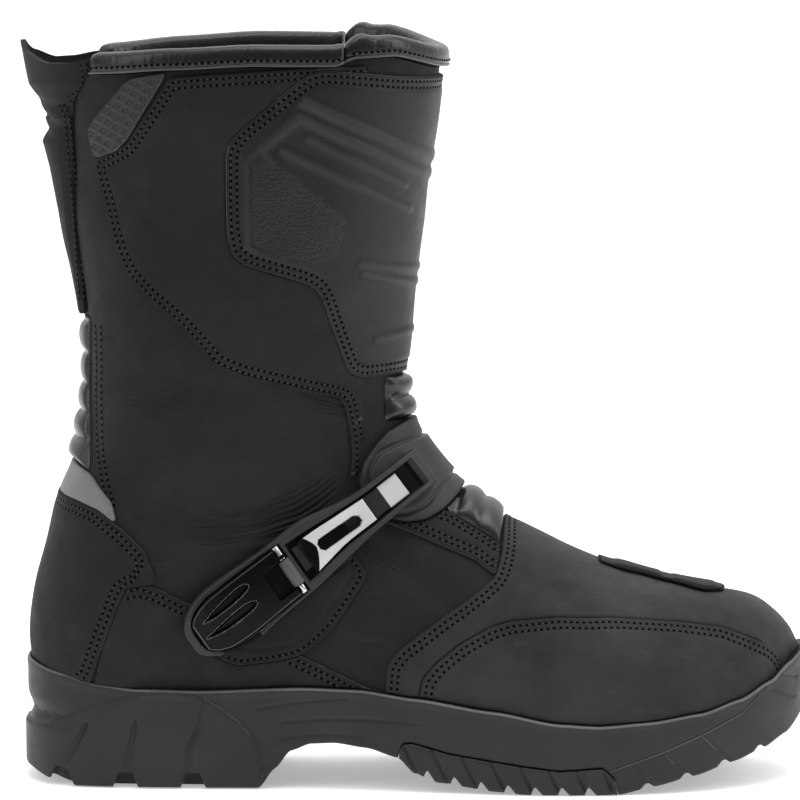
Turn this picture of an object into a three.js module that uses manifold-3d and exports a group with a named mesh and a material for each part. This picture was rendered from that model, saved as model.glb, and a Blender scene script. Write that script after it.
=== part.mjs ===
// A right-foot motorcycle boot: a rubber cup outsole, a hollow leather upper with its shaft, the sewn panels
// that lie on it, a padded collar, ribbed flex panels at shin, instep and heel, and a strap with its buckle.
// Millimetres, +X towards the toe, +Z up, the outer (lateral) side faces -Y.
import * as THREE from "three";
import { mergeVertices } from "three/addons/utils/BufferGeometryUtils.js";
import Module from "manifold-3d";

const wasm = await Module();
wasm.setup();

// Driving dimensions
const soleLength = 312;
const ballWidth = 108;
const bootHeight = 290;
const shaftWidth = 102;
const soleEdgeHeight = 48;
const soleRim = 4.2;
const wall = 2.2;
const gap = 0.3;
const panelThickness = 1.4;
const plateThickness = 1.6;
const padThickness = 3.4;
const padRise = 1.35;
const insoleThickness = 3.5;
const featherDrop = 7;
const collarThickness = 8;
const collarHeight = 8.5;

// Colours and surfaces
const finish = (color, roughness, metalness = 0) =>
  new THREE.MeshStandardMaterial({ color, roughness, metalness });
const nubuck = finish(0x2b2b2c, 0.85);
const plateLeather = finish(0x2c2a2b, 0.6);
const softLeather = finish(0x222324, 0.45);
const soleRubber = finish(0x2a2b2d, 0.65);
const padRubber = finish(0x38393b, 0.6);
const glossPlastic = finish(0x141416, 0.2);
const reflective = finish(0x9a9a98, 0.5);
const foam = finish(0x3a3a3c, 0.95);

// Tables: each row is one place along the shoe, with its columns named
const table = (columns, rows) =>
  rows.map((row) => Object.fromEntries(columns.map((name, i) => [name, row[i]])));

// A smooth curve through four neighbouring values
const catmull = (a, b, c, d, t) =>
  0.5 * (2 * b + (c - a) * t + (2 * a - 5 * b + 4 * c - d) * t * t + (3 * b - a - 3 * c + d) * t * t * t);

// The row of a table at a fractional index
function rowAt(rows, position) {
  const last = rows.length - 1;
  const u = Math.min(Math.max(position, 0), last);
  const i = Math.min(Math.floor(u), last - 1);
  const pick = (k) => rows[Math.min(Math.max(k, 0), last)];
  const out = {};
  for (const name in rows[0]) {
    out[name] = catmull(pick(i - 1)[name], pick(i)[name], pick(i + 1)[name], pick(i + 2)[name], u - i);
  }
  return out;
}

// A height read along x from a table with the columns x and z, both shares
function heightAt(rows, share) {
  const last = rows.length - 1;
  if (share <= rows[0].x) return rows[0].z;
  if (share >= rows[last].x) return rows[last].z;
  let i = 0;
  while (rows[i + 1].x < share) i += 1;
  const t = (share - rows[i].x) / (rows[i + 1].x - rows[i].x);
  const s = t * t * (3 - 2 * t);
  return rows[i].z + (rows[i + 1].z - rows[i].z) * (0.5 * t + 0.5 * s);
}

// Sole profiles: x is a share of the sole's length, z of the height of its edge at the heel
const soleEdge = table(["x", "z"], [
  [0.0, 1.0], [0.055, 0.93], [0.1, 0.85], [0.15, 0.81], [0.23, 0.8], [0.36, 0.83], [0.43, 0.82],
  [0.5, 0.76], [0.6, 0.67], [0.68, 0.58], [0.73, 0.56], [0.79, 0.585], [0.86, 0.64], [0.91, 0.73],
  [0.95, 0.85], [0.975, 0.97], [1.0, 1.07],
]);
const soleFloor = table(["x", "z"], [
  [0.0, 0.69], [0.2, 0.68], [0.32, 0.63], [0.42, 0.56], [0.51, 0.47], [0.6, 0.37], [0.68, 0.31],
  [0.77, 0.31], [0.86, 0.37], [0.93, 0.47], [1.0, 0.62],
]);
const soleBottom = table(["x", "z"], [
  [0.0, 0.16], [0.015, 0.1], [0.04, 0.045], [0.075, 0.0], [0.305, 0.0], [0.325, 0.16], [0.345, 0.31],
  [0.37, 0.37], [0.4, 0.38], [0.44, 0.345], [0.48, 0.27], [0.5, 0.15], [0.53, 0.08], [0.6, 0.02],
  [0.64, 0.0], [0.755, 0.0], [0.8, 0.06], [0.85, 0.13], [0.9, 0.22], [0.94, 0.3], [0.97, 0.39], [1.0, 0.56],
]);
const edgeZ = (x) => heightAt(soleEdge, x / soleLength) * soleEdgeHeight;
const floorZ = (x) => heightAt(soleFloor, x / soleLength) * soleEdgeHeight;
const bottomZ = (x) => heightAt(soleBottom, x / soleLength) * soleEdgeHeight;

// Sole outline seen from above: x is a share of the length, y of the ball width, from the heel round the
// lateral side to the toe and back along the medial side
const soleOutline = table(["x", "y"], [
  [0.009, 0.0], [0.018, -0.16], [0.053, -0.285], [0.12, -0.335], [0.22, -0.355], [0.33, -0.362], [0.44, -0.395],
  [0.55, -0.45], [0.65, -0.495], [0.74, -0.495], [0.83, -0.45], [0.905, -0.355], [0.96, -0.225],
  [0.992, -0.08], [1.0, 0.05], [0.99, 0.17], [0.955, 0.29], [0.9, 0.385], [0.82, 0.45], [0.73, 0.47],
  [0.63, 0.43], [0.53, 0.365], [0.43, 0.325], [0.33, 0.315], [0.22, 0.33], [0.12, 0.32], [0.053, 0.275],
  [0.018, 0.155],
]);

// A closed smooth loop through the outline's points, with its outward direction, sampled evenly
function outlineLoop(count) {
  const n = soleOutline.length;
  const at = (k, name) => soleOutline[((k % n) + n) % n][name];
  const points = [];
  const fine = 24;
  for (let i = 0; i < n; i += 1) {
    for (let j = 0; j < fine; j += 1) {
      const t = j / fine;
      points.push(new THREE.Vector2(
        catmull(at(i - 1, "x"), at(i, "x"), at(i + 1, "x"), at(i + 2, "x"), t) * soleLength,
        catmull(at(i - 1, "y"), at(i, "y"), at(i + 1, "y"), at(i + 2, "y"), t) * ballWidth,
      ));
    }
  }
  const lengths = [0];
  for (let i = 1; i <= points.length; i += 1) {
    lengths.push(lengths[i - 1] + points[i % points.length].distanceTo(points[i - 1]));
  }
  const total = lengths[points.length];
  const loop = [];
  let k = 0;
  for (let i = 0; i < count; i += 1) {
    const target = (total * i) / count;
    while (lengths[k + 1] < target) k += 1;
    const t = (target - lengths[k]) / (lengths[k + 1] - lengths[k]);
    loop.push(points[k].clone().lerp(points[(k + 1) % points.length], t));
  }
  return loop.map((point, i) => {
    const before = loop[(i + count - 1) % count];
    const after = loop[(i + 1) % count];
    const along = after.clone().sub(before).normalize();
    return { point, outward: new THREE.Vector2(along.y, -along.x) };
  });
}

// Half width of the upper's footprint at x, on one side: the sole's outline drawn in by its rim
const footprintLoop = outlineLoop(160).map(({ point, outward }) => point.clone().addScaledVector(outward, -soleRim));
function footprintHalf(x, side) {
  let best = 0;
  footprintLoop.forEach((a, i) => {
    const b = footprintLoop[(i + 1) % footprintLoop.length];
    if ((a.x - x) * (b.x - x) > 0 || a.x === b.x) return;
    const y = a.y + ((b.y - a.y) * (x - a.x)) / (b.x - a.x);
    if (y * side > best) best = y * side;
  });
  return best;
}

// Sections of the foot, from the toe back to the heel's breast. frontX and backX are shares of the sole's
// length, frontZ of the boot's height. The width comes from the footprint times spread, ridge is the place of
// the top line across the ball width, and widest is where along its height a section is widest.
const footRows = table(["frontX", "frontZ", "backX", "spread", "ridge", "widest", "backPower", "frontPower"], [
  [0.9905, 0.141, 0.9905, 0.0, 0.05, 0.42, 2.4, 2.4],
  [0.9855, 0.168, 0.9855, 0.4, 0.05, 0.42, 2.4, 2.4],
  [0.976, 0.19, 0.975, 0.72, 0.05, 0.4, 2.5, 2.4],
  [0.958, 0.2135, 0.956, 0.9, 0.048, 0.38, 2.7, 2.4],
  [0.93, 0.234, 0.927, 0.98, 0.045, 0.35, 3.0, 2.4],
  [0.885, 0.2455, 0.882, 1.0, 0.04, 0.33, 3.2, 2.35],
  [0.827, 0.257, 0.82, 1.0, 0.035, 0.31, 3.3, 2.25],
  [0.763, 0.276, 0.75, 1.0, 0.03, 0.29, 3.4, 2.15],
  [0.699, 0.3035, 0.673, 1.0, 0.025, 0.27, 3.4, 2.05],
  [0.641, 0.3345, 0.596, 1.0, 0.02, 0.26, 3.4, 1.98],
  [0.59, 0.367, 0.513, 1.0, 0.015, 0.25, 3.4, 1.92],
]);

// Sections that turn about the ankle and climb the shaft, to the collar. frontZ and backZ are shares of the
// boot's height, lateral and medial are half widths as shares of the shaft's width.
const legRows = table(["frontX", "frontZ", "backX", "backZ", "lateral", "medial", "widest", "backPower", "frontPower"], [
  [0.548, 0.4, 0.423, 0.066, 0.385, 0.355, 0.25, 3.4, 1.9],
  [0.516, 0.438, 0.333, 0.076, 0.35, 0.325, 0.25, 3.3, 1.9],
  [0.495, 0.476, 0.243, 0.083, 0.345, 0.32, 0.26, 3.2, 1.9],
  [0.487, 0.51, 0.147, 0.083, 0.352, 0.33, 0.27, 3.1, 1.9],
  [0.4835, 0.541, 0.066, 0.083, 0.372, 0.352, 0.29, 2.7, 1.92],
  [0.486, 0.566, 0.0265, 0.11, 0.386, 0.368, 0.32, 2.45, 1.94],
  [0.489, 0.59, 0.0205, 0.159, 0.393, 0.378, 0.34, 2.35, 1.96],
  [0.4915, 0.614, 0.0185, 0.207, 0.4, 0.388, 0.37, 2.35, 1.98],
  [0.4935, 0.641, 0.025, 0.259, 0.41, 0.4, 0.39, 2.35, 2.0],
  [0.4955, 0.672, 0.0385, 0.317, 0.42, 0.412, 0.41, 2.35, 2.02],
  [0.4995, 0.71, 0.053, 0.38, 0.431, 0.426, 0.43, 2.35, 2.05],
  [0.5055, 0.755, 0.077, 0.448, 0.44, 0.438, 0.46, 2.3, 2.08],
  [0.5105, 0.803, 0.0875, 0.534, 0.455, 0.455, 0.47, 2.25, 2.1],
  [0.518, 0.855, 0.086, 0.631, 0.471, 0.471, 0.48, 2.2, 2.12],
  [0.5255, 0.907, 0.071, 0.745, 0.486, 0.486, 0.5, 2.15, 2.14],
  [0.5315, 0.955, 0.066, 0.862, 0.497, 0.497, 0.52, 2.1, 2.16],
  [0.535, 1.003, 0.057, 0.965, 0.505, 0.505, 0.54, 2.05, 2.18],
  [0.5385, 1.05, 0.052, 1.05, 0.51, 0.51, 0.55, 2.0, 2.2],
]);

// How far the first sections at the toe have opened down to the sole
const toeOpening = [0, 0.36, 0.62, 0.84, 0.96];

// Every section in millimetres: front and back points of the side profile, half widths and roundness
const sections = [
  ...footRows.map((row, i) => {
    const x = row.backX * soleLength;
    const lowest = floorZ(x) - featherDrop;
    const ridge = row.ridge * ballWidth;
    const opening = toeOpening[i] ?? 1;
    return {
      frontX: row.frontX * soleLength,
      frontZ: row.frontZ * bootHeight,
      backX: x,
      backZ: footRows[0].frontZ * bootHeight * (1 - opening) + lowest * opening,
      lateral: footprintHalf(x, -1) * row.spread - ridge * (1 - row.spread),
      medial: footprintHalf(x, 1) * row.spread + ridge * (1 - row.spread),
      ridge,
      widest: row.widest,
      backPower: row.backPower,
      frontPower: row.frontPower,
    };
  }),
  ...legRows.map((row) => ({
    frontX: row.frontX * soleLength,
    frontZ: row.frontZ * bootHeight,
    backX: row.backX * soleLength,
    backZ: row.backZ * bootHeight,
    lateral: row.lateral * shaftWidth,
    medial: row.medial * shaftWidth,
    ridge: 0,
    widest: row.widest,
    backPower: row.backPower,
    frontPower: row.frontPower,
  })),
];
const lastSection = sections.length - 1;

// A point of the upper's outer face. u runs from the toe to the collar, angle round a section: 0 at the back
// or underside, a half turn at the front or top, the lateral side first.
function surfacePoint(u, angle) {
  const s = rowAt(sections, u);
  const along = -Math.cos(angle);
  const across = Math.sin(angle);
  const power = along < 0 ? s.backPower : s.frontPower;
  const radius = (Math.abs(along) ** power + Math.abs(across) ** power) ** (-1 / power);
  const reach = along * radius;
  const share = s.widest + reach * (along < 0 ? s.widest : 1 - s.widest);
  const swell = Math.abs(across) * radius;
  const y = s.ridge * (1 - swell) + swell * (across > 0 ? -s.lateral : s.medial);
  return new THREE.Vector3(
    s.backX + (s.frontX - s.backX) * share,
    y,
    s.backZ + (s.frontZ - s.backZ) * share,
  );
}

function surfaceNormal(u, angle) {
  const step = 0.03;
  const low = Math.max(u - step, 0.05);
  const high = Math.min(u + step, lastSection);
  const du = surfacePoint(high, angle).sub(surfacePoint(low, angle));
  const da = surfacePoint(u < 0.05 ? 0.05 : u, angle + step).sub(surfacePoint(u < 0.05 ? 0.05 : u, angle - step));
  return da.cross(du).normalize();
}

function offsetPoint(u, angle, offset) {
  if (u < 0.001) return surfacePoint(0, angle).add(new THREE.Vector3(offset, 0, 0));
  return surfacePoint(u, angle).addScaledVector(surfaceNormal(u, angle), offset);
}

// Solids from rings of points, closed at both ends
function ringSolid(rings) {
  const count = rings[0].length;
  const positions = rings.flat().flatMap((p) => [p.x, p.y, p.z]);
  const faces = [];
  for (let r = 0; r + 1 < rings.length; r += 1) {
    for (let i = 0; i < count; i += 1) {
      const j = (i + 1) % count;
      const a = r * count + i;
      const b = r * count + j;
      const c = (r + 1) * count + j;
      const d = (r + 1) * count + i;
      faces.push(a, b, c, a, c, d);
    }
  }
  const cap = (ring, start, flip) => {
    const centre = ring.reduce((sum, p) => sum.add(p), new THREE.Vector3()).divideScalar(count);
    const middle = positions.length / 3;
    positions.push(centre.x, centre.y, centre.z);
    for (let i = 0; i < count; i += 1) {
      const j = (i + 1) % count;
      faces.push(...(flip ? [middle, start + j, start + i] : [middle, start + i, start + j]));
    }
  };
  cap(rings[0], 0, true);
  cap(rings[rings.length - 1], (rings.length - 1) * count, false);
  return solidFrom(positions, faces);
}

function solidFrom(positions, faces) {
  const geometry = new THREE.BufferGeometry();
  geometry.setAttribute("position", new THREE.Float32BufferAttribute(positions, 3));
  geometry.setIndex(faces);
  return solidOf(geometry);
}

function solidOf(geometry) {
  const bare = new THREE.BufferGeometry();
  const source = geometry.index ? geometry.toNonIndexed() : geometry;
  bare.setAttribute("position", source.getAttribute("position"));
  const merged = mergeVertices(bare, 1e-3);
  const kept = [];
  const index = merged.index.array;
  for (let i = 0; i < index.length; i += 3) {
    const [a, b, c] = [index[i], index[i + 1], index[i + 2]];
    if (a !== b && b !== c && a !== c) kept.push(a, b, c);
  }
  const mesh = new wasm.Mesh({
    numProp: 3,
    vertProperties: merged.attributes.position.array,
    triVerts: new Uint32Array(kept),
  });
  const solid = new wasm.Manifold(mesh);
  return solid.volume() < 0 ? flipped(mesh) : solid;
}

function flipped(mesh) {
  const triVerts = new Uint32Array(mesh.triVerts);
  for (let i = 0; i < triVerts.length; i += 3) {
    [triVerts[i + 1], triVerts[i + 2]] = [triVerts[i + 2], triVerts[i + 1]];
  }
  return new wasm.Manifold(new wasm.Mesh({ numProp: 3, vertProperties: mesh.vertProperties, triVerts }));
}

function geometryOf(solid) {
  const mesh = solid.getMesh();
  const count = mesh.numProp;
  const positions = new Float32Array(mesh.numVert * 3);
  for (let i = 0; i < mesh.numVert; i += 1) {
    positions.set(mesh.vertProperties.subarray(i * count, i * count + 3), i * 3);
  }
  const geometry = new THREE.BufferGeometry();
  geometry.setAttribute("position", new THREE.BufferAttribute(positions, 3));
  geometry.setIndex(new THREE.BufferAttribute(new Uint32Array(mesh.triVerts), 1));
  geometry.computeVertexNormals();
  return geometry;
}

// The largest connected piece, without the crumbs that a cut can leave
function mainPiece(solid) {
  return solid.decompose().sort((a, b) => b.volume() - a.volume())[0];
}

// The whole boot form, drawn out or in by an offset. Its rings stand closer at the toe, ankle and heel.
const ringPlaces = [
  0, 1, 2, 3, 4, 5.2, 6.5, 8, 9.5, 11, 12, 13, 14, 15, 16, 17, 18, 19, 20.3, 21.6, 23, 24.5, 26, lastSection,
];
const angleSteps = 18;
const forms = new Map();
function bootForm(offset) {
  if (!forms.has(offset)) {
    const rings = ringPlaces.map((u) => Array.from({ length: angleSteps }, (_, k) =>
      offsetPoint(u, (2 * Math.PI * k) / angleSteps, offset)));
    forms.set(offset, ringSolid(rings));
  }
  return forms.get(offset);
}

// The point of the surface that a side view shows at x and z, on the lateral (-1) or medial (1) side
function sideSpot(x, z, side) {
  const beyond = (u) => {
    const s = rowAt(sections, u);
    return (s.frontX - s.backX) * (z - s.backZ) - (s.frontZ - s.backZ) * (x - s.backX);
  };
  let low = 0.05;
  let high = lastSection;
  for (let i = 0; i < 40; i += 1) {
    const middle = (low + high) / 2;
    if (beyond(middle) > 0) low = middle;
    else high = middle;
  }
  const s = rowAt(sections, low);
  const dx = s.frontX - s.backX;
  const dz = s.frontZ - s.backZ;
  const share = THREE.MathUtils.clamp(((x - s.backX) * dx + (z - s.backZ) * dz) / (dx * dx + dz * dz), 0, 1);
  const reach = share < s.widest ? (share - s.widest) / s.widest : (share - s.widest) / (1 - s.widest);
  const power = reach < 0 ? s.backPower : s.frontPower;
  const across = Math.max(1 - Math.abs(reach) ** power, 0) ** (1 / power);
  const angle = Math.atan2(across, -reach);
  return { u: low, angle: side < 0 ? angle : 2 * Math.PI - angle };
}

// The section at which the surface reaches the height of a line over x, at an angle round the shaft
function levelOf(angle, lineOver) {
  let low = footRows.length - 1;
  let high = lastSection;
  for (let i = 0; i < 40; i += 1) {
    const middle = (low + high) / 2;
    const p = surfacePoint(middle, angle);
    if (p.z < lineOver(p.x)) low = middle;
    else high = middle;
  }
  return low;
}

// Side views are lists of points in millimetres, given as shares of the sole's length and the boot's height
const outline = (rows) => rows.map(([x, z]) => new THREE.Vector2(x * soleLength, z * bootHeight));

// The same list drawn outwards
function grown(points, by) {
  const clockwise = THREE.ShapeUtils.isClockWise(points);
  const sign = clockwise ? -1 : 1;
  const n = points.length;
  return points.map((p, i) => {
    const a = p.clone().sub(points[(i + n - 1) % n]).normalize();
    const b = points[(i + 1) % n].clone().sub(p).normalize();
    const outA = new THREE.Vector2(a.y, -a.x).multiplyScalar(sign);
    const outB = new THREE.Vector2(b.y, -b.x).multiplyScalar(sign);
    const out = outA.clone().add(outB).normalize();
    return p.clone().addScaledVector(out, by / Math.max(0.5, out.dot(outA)));
  });
}

// A block with that side view, from one y to another
function sideBlock(points, from = -ballWidth, to = ballWidth) {
  const geometry = new THREE.ExtrudeGeometry(new THREE.Shape(points), {
    depth: to - from,
    bevelEnabled: false,
    steps: 1,
  });
  geometry.rotateX(Math.PI / 2);
  geometry.translate(0, to, 0);
  return solidOf(geometry);
}

// A block below a line given by its height over x
const profileSteps = 24;
function underLine(lineOver, by = 0) {
  const points = [new THREE.Vector2(-soleLength / 6, -soleLength / 6)];
  points.push(new THREE.Vector2(soleLength * 1.2, -soleLength / 6));
  for (let i = profileSteps; i >= 0; i -= 1) {
    const x = (-0.05 + (1.1 * i) / profileSteps) * soleLength;
    points.push(new THREE.Vector2(x, lineOver(x) + by));
  }
  points.push(new THREE.Vector2(-soleLength / 6, lineOver(0) + by));
  return sideBlock(points);
}

// Height of the collar's rim over x
const rimLine = table(["x", "z"], [
  [0.06, 0.985], [0.12, 0.992], [0.2, 0.999], [0.3, 1.005], [0.4, 1.004], [0.425, 1.014], [0.47, 1.016], [0.54, 0.995],
]);
const rimZ = (x) => heightAt(rimLine, x / soleLength) * bootHeight;
const shaftTop = (x) => rimZ(x) - collarHeight;

const group = new THREE.Group();
function addNode(name, solid, material) {
  const mesh = new THREE.Mesh(geometryOf(solid), material);
  mesh.name = name;
  group.add(mesh);
}

// Outsole: a block with the sole's outline and stepped side, hollowed by the foot
const sideLevels = table(["height", "heel", "fore"], [
  [-0.04, 0.0, -0.3], [0.06, 0.2, -0.15], [0.44, 0.25, -0.05], [0.47, -0.05, -0.05], [0.59, -0.42, -0.06],
  [0.72, 0.0, 0.0], [0.94, 0.0, 0.0], [1.0, -0.15, -0.15], [1.7, -0.2, -0.2],
]);
const heelShare = (x) => 1 - THREE.MathUtils.smoothstep(x / soleLength, 0.22, 0.34);
const soleLoop = outlineLoop(42);
const soleBlock = ringSolid(sideLevels.map(({ height, heel, fore }, level) =>
  soleLoop.map(({ point, outward }) => {
    const mix = heelShare(point.x);
    const out = (heel * mix + fore * (1 - mix)) * soleRim;
    const flat = level === 0 ? -soleEdgeHeight * 0.04 : soleEdgeHeight * 1.7;
    const z = level === 0 || level === sideLevels.length - 1 ? flat : edgeZ(point.x) * height;
    return new THREE.Vector3(point.x + outward.x * out, point.y + outward.y * out, z);
  })));
const belowFloor = underLine(floorZ);
const footRoom = bootForm(gap).subtract(belowFloor);
const soleBody = soleBlock
  .intersect(underLine(edgeZ))
  .subtract(underLine(bottomZ))
  .subtract(footRoom);

// Grooves between the lugs: x, width and depth as shares, leaning by the last column
const lugGrooves = table(["x", "width", "height", "lean"], [
  [0.057, 0.016, 0.12, 0.02], [0.137, 0.018, 0.12, 0.006], [0.222, 0.018, 0.12, 0.01],
]);
// The sole's middle stays whole: the grooves reach in from its two sides only
const soleCore = ballWidth * 0.2;
const fromBothSides = (points) => {
  const flat = points.map(([px, pz]) => new THREE.Vector2(px * soleLength, pz * soleEdgeHeight));
  return [sideBlock(flat, -ballWidth, -soleCore), sideBlock(flat, soleCore, ballWidth)];
};
const grooveBlocks = ({ x, width, height, lean }, base) => fromBothSides([
  [x - width / 2, -0.1], [x + width / 2, -0.1], [x + width / 2 + lean * 0.6, base + height],
  [x - width / 2 + lean, base + height],
]);
const heelGrooves = lugGrooves.flatMap((row) => grooveBlocks(row, 0));

// Forefoot tread: a separate insert of saw-edged lugs
const treadOutline = [
  [0.48, 0.327], [0.486, 0.385], [0.497, 0.392], [0.544, 0.31], [0.632, 0.228], [0.681, 0.19], [0.735, 0.215],
  [0.75, 0.12], [0.755, -0.1], [0.47, -0.1],
].map(([x, z]) => new THREE.Vector2(x * soleLength, z * soleEdgeHeight));
const sawStart = 0.512;
const sawPitch = 0.0335;
const sawCount = 7;
const sawTeeth = Array.from({ length: sawCount }, (_, i) => sawStart + i * sawPitch).flatMap((x) => fromBothSides([
  [x - 0.004, -0.1], [x + 0.012, -0.1], [x + 0.002, heightAt(soleBottom, x) + 0.085],
]));
const toeGrooves = table(["x", "width", "height", "lean"], [
  [0.79, 0.007, 0.04, -0.008], [0.84, 0.007, 0.04, -0.01], [0.885, 0.007, 0.045, -0.01], [0.935, 0.006, 0.04, -0.01],
]).flatMap((row) => grooveBlocks(row, heightAt(soleBottom, row.x)));

let outsole = soleBody.subtract(sideBlock(grown(treadOutline, gap)));
[...heelGrooves, ...toeGrooves].forEach((groove) => { outsole = outsole.subtract(groove); });
addNode("outsole", mainPiece(outsole), soleRubber);
let tread = soleBody.intersect(sideBlock(treadOutline));
sawTeeth.forEach((tooth) => { tread = tread.subtract(tooth); });
addNode("forefoot_tread", mainPiece(tread), soleRubber);

// Upper: one hollow leather wall, open at the collar and where the sole closes it
const upper = mainPiece(bootForm(0)
  .subtract(bootForm(-wall))
  .subtract(underLine(floorZ, gap))
  .intersect(underLine(shaftTop, -gap)));
addNode("upper", upper, nubuck);

// Insole: lies on the sole's floor inside the upper
addNode("insole", mainPiece(bootForm(-wall - gap)
  .subtract(underLine(floorZ, gap))
  .intersect(underLine(floorZ, gap + insoleThickness))), foam);

// Panels: each lies on the upper inside its side view. A panel gives way to the ones placed before it.
const soleTop = underLine(edgeZ, gap);
const sides = { lateral: [-ballWidth, 0], medial: [0, ballWidth], both: [-ballWidth, ballWidth] };
const placed = [];
function panelSolid(points, side, from, to) {
  return bootForm(to).subtract(bootForm(from)).intersect(sideBlock(points, ...sides[side]));
}
function layPanel(name, { rows, side = "both", thickness = panelThickness, material = nubuck, shape }) {
  const points = outline(rows);
  let solid = shape ?? panelSolid(points, side, gap, gap + thickness);
  solid = solid.subtract(soleTop);
  placed.forEach((other) => {
    if (other.side === side || other.side === "both" || side === "both") solid = solid.subtract(other.keepOut);
  });
  placed.push({ side, keepOut: sideBlock(grown(points, gap), ...sides[side]) });
  addNode(name, mainPiece(solid), material);
}

const shinOutline = [
  [0.6, 0.95], [0.482, 0.96], [0.421, 0.968], [0.39, 0.971], [0.371, 0.967], [0.359, 0.958], [0.322, 0.926],
  [0.285, 0.892], [0.273, 0.879], [0.268, 0.859], [0.268, 0.799], [0.269, 0.745], [0.275, 0.725],
  [0.291, 0.712], [0.358, 0.689], [0.377, 0.679], [0.385, 0.662], [0.395, 0.627], [0.413, 0.57],
  [0.42, 0.559], [0.432, 0.553], [0.47, 0.554], [0.6, 0.557],
];
layPanel("shin_plate", { rows: shinOutline, thickness: plateThickness, material: plateLeather });

const gripOutline = [
  [0.152, 0.958], [0.194, 0.967], [0.19, 0.957], [0.157, 0.897], [0.146, 0.877], [0.132, 0.86], [0.105, 0.85],
  [0.097, 0.886], [0.105, 0.902], [0.142, 0.95],
];
layPanel("grip_patch_lateral", { rows: gripOutline, side: "lateral", thickness: plateThickness, material: padRubber });
layPanel("grip_patch_medial", { rows: gripOutline, side: "medial", thickness: plateThickness, material: padRubber });

// Ankle pad: a moulded shell over the instep with a raised middle
const padOutline = [
  [0.51, 0.495], [0.54, 0.49], [0.6, 0.42], [0.562, 0.395], [0.548, 0.38], [0.532, 0.366], [0.513, 0.356],
  [0.488, 0.354], [0.47, 0.36], [0.457, 0.369], [0.432, 0.399], [0.429, 0.412], [0.434, 0.434],
  [0.447, 0.455], [0.463, 0.474], [0.482, 0.485],
];
const padRaised = [
  [0.453, 0.445], [0.482, 0.456], [0.514, 0.458], [0.53, 0.462], [0.57, 0.42], [0.533, 0.403], [0.52, 0.386],
  [0.51, 0.374], [0.488, 0.366], [0.47, 0.368], [0.442, 0.414], [0.444, 0.431],
];
layPanel("ankle_pad", {
  rows: padOutline,
  material: padRubber,
  shape: panelSolid(outline(padOutline), "both", gap, gap + padThickness)
    .add(panelSolid(outline(padRaised), "both", gap, gap + padThickness * padRise)),
});

const baseOutline = [
  [0.426, 0.313], [0.439, 0.291], [0.438, 0.281], [0.401, 0.221], [0.376, 0.194], [0.357, 0.18], [0.332, 0.173],
  [0.281, 0.166], [0.262, 0.172], [0.24, 0.19], [0.222, 0.215], [0.225, 0.25], [0.26, 0.285], [0.33, 0.33],
];
layPanel("buckle_base", { rows: baseOutline, side: "lateral" });

// Heel counter with its raised front band, the reflecting patch and the ribbed flex panel above it
const counterOutline = [
  [-0.05, 0.392], [0.053, 0.39], [0.081, 0.386], [0.107, 0.377], [0.139, 0.351], [0.164, 0.324], [0.176, 0.289],
  [0.172, 0.279], [0.141, 0.275], [0.132, 0.255], [0.113, 0.2], [0.09, 0.13], [0.085, 0.05], [-0.05, 0.05],
];
layPanel("heel_counter", { rows: counterOutline, thickness: plateThickness });
const reflectorOutline = [
  [-0.05, 0.436], [0.069, 0.436], [0.097, 0.423], [0.107, 0.408], [0.123, 0.389], [0.129, 0.362],
  [0.107, 0.373], [0.085, 0.385], [-0.05, 0.388],
];
layPanel("reflector", { rows: reflectorOutline, material: reflective });

// A rounded rib over the surface: its middle line runs through spots, its ring stands across that line
function rib(spots, width, height) {
  const points = spots.map(({ u, angle }) => surfacePoint(u, angle));
  const rings = spots.map(({ u, angle }, i) => {
    const before = points[Math.max(i - 1, 0)];
    const after = points[Math.min(i + 1, points.length - 1)];
    const along = after.clone().sub(before).normalize();
    const normal = surfaceNormal(u, angle);
    const across = normal.clone().cross(along).normalize();
    return ribProfile.map(({ across: w, out: h }) => points[i].clone()
      .addScaledVector(across, (w * width) / 2)
      .addScaledVector(normal, h * height));
  });
  return ringSolid(rings);
}
const ribProfile = table(["across", "out"], [
  [-1.0, -0.1], [-0.9, 0.5], [-0.4, 1.0], [0.4, 1.0], [0.9, 0.5], [1.0, -0.1],
]);
const spread = (from, to, count) => Array.from({ length: count }, (_, i) => from + ((to - from) * i) / (count - 1));

// Ribs over a backing sheet, trimmed to the panel's side view
function ribbedPanel(name, rows, ribs, side = "both") {
  const points = outline(rows);
  let solid = panelSolid(points, side, gap, gap + panelThickness);
  const trim = sideBlock(points, ...sides[side]);
  ribs.forEach((one) => { solid = solid.add(one.intersect(trim)); });
  layPanel(name, { rows, side, material: softLeather, shape: solid.subtract(bootForm(gap)) });
}
const rearRibs = table(["z", "width", "height"], [
  [0.603, 0.038, 4.2], [0.56, 0.038, 3.9], [0.521, 0.036, 4.4], [0.483, 0.036, 4.8], [0.449, 0.032, 4.6],
]);
ribbedPanel("rear_bellows", [
  [-0.05, 0.438], [0.069, 0.438], [0.094, 0.426], [0.094, 0.632], [-0.05, 0.632],
], rearRibs.map(({ z, width, height }) => rib(
  spread(-0.9, 0.9, 6).map((angle) => ({ angle, u: levelOf(angle, () => z * bootHeight) })),
  width * bootHeight,
  height,
)));
const frontRibs = table(["z", "width", "height"], [[0.536, 0.034, 4.4], [0.504, 0.034, 4.4]]);
ribbedPanel("shin_bellows", [
  [0.462, 0.488], [0.462, 0.55], [0.6, 0.554], [0.6, 0.488],
], frontRibs.map(({ z, width, height }) => rib(
  spread(Math.PI - 1.2, Math.PI + 1.2, 6).map((angle) => ({ angle, u: levelOf(angle, () => z * bootHeight) })),
  width * bootHeight,
  height,
)));
const instepRibs = table(["x", "width", "height"], [[0.564, 0.028, 4.4], [0.592, 0.028, 4.3]]);
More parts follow.
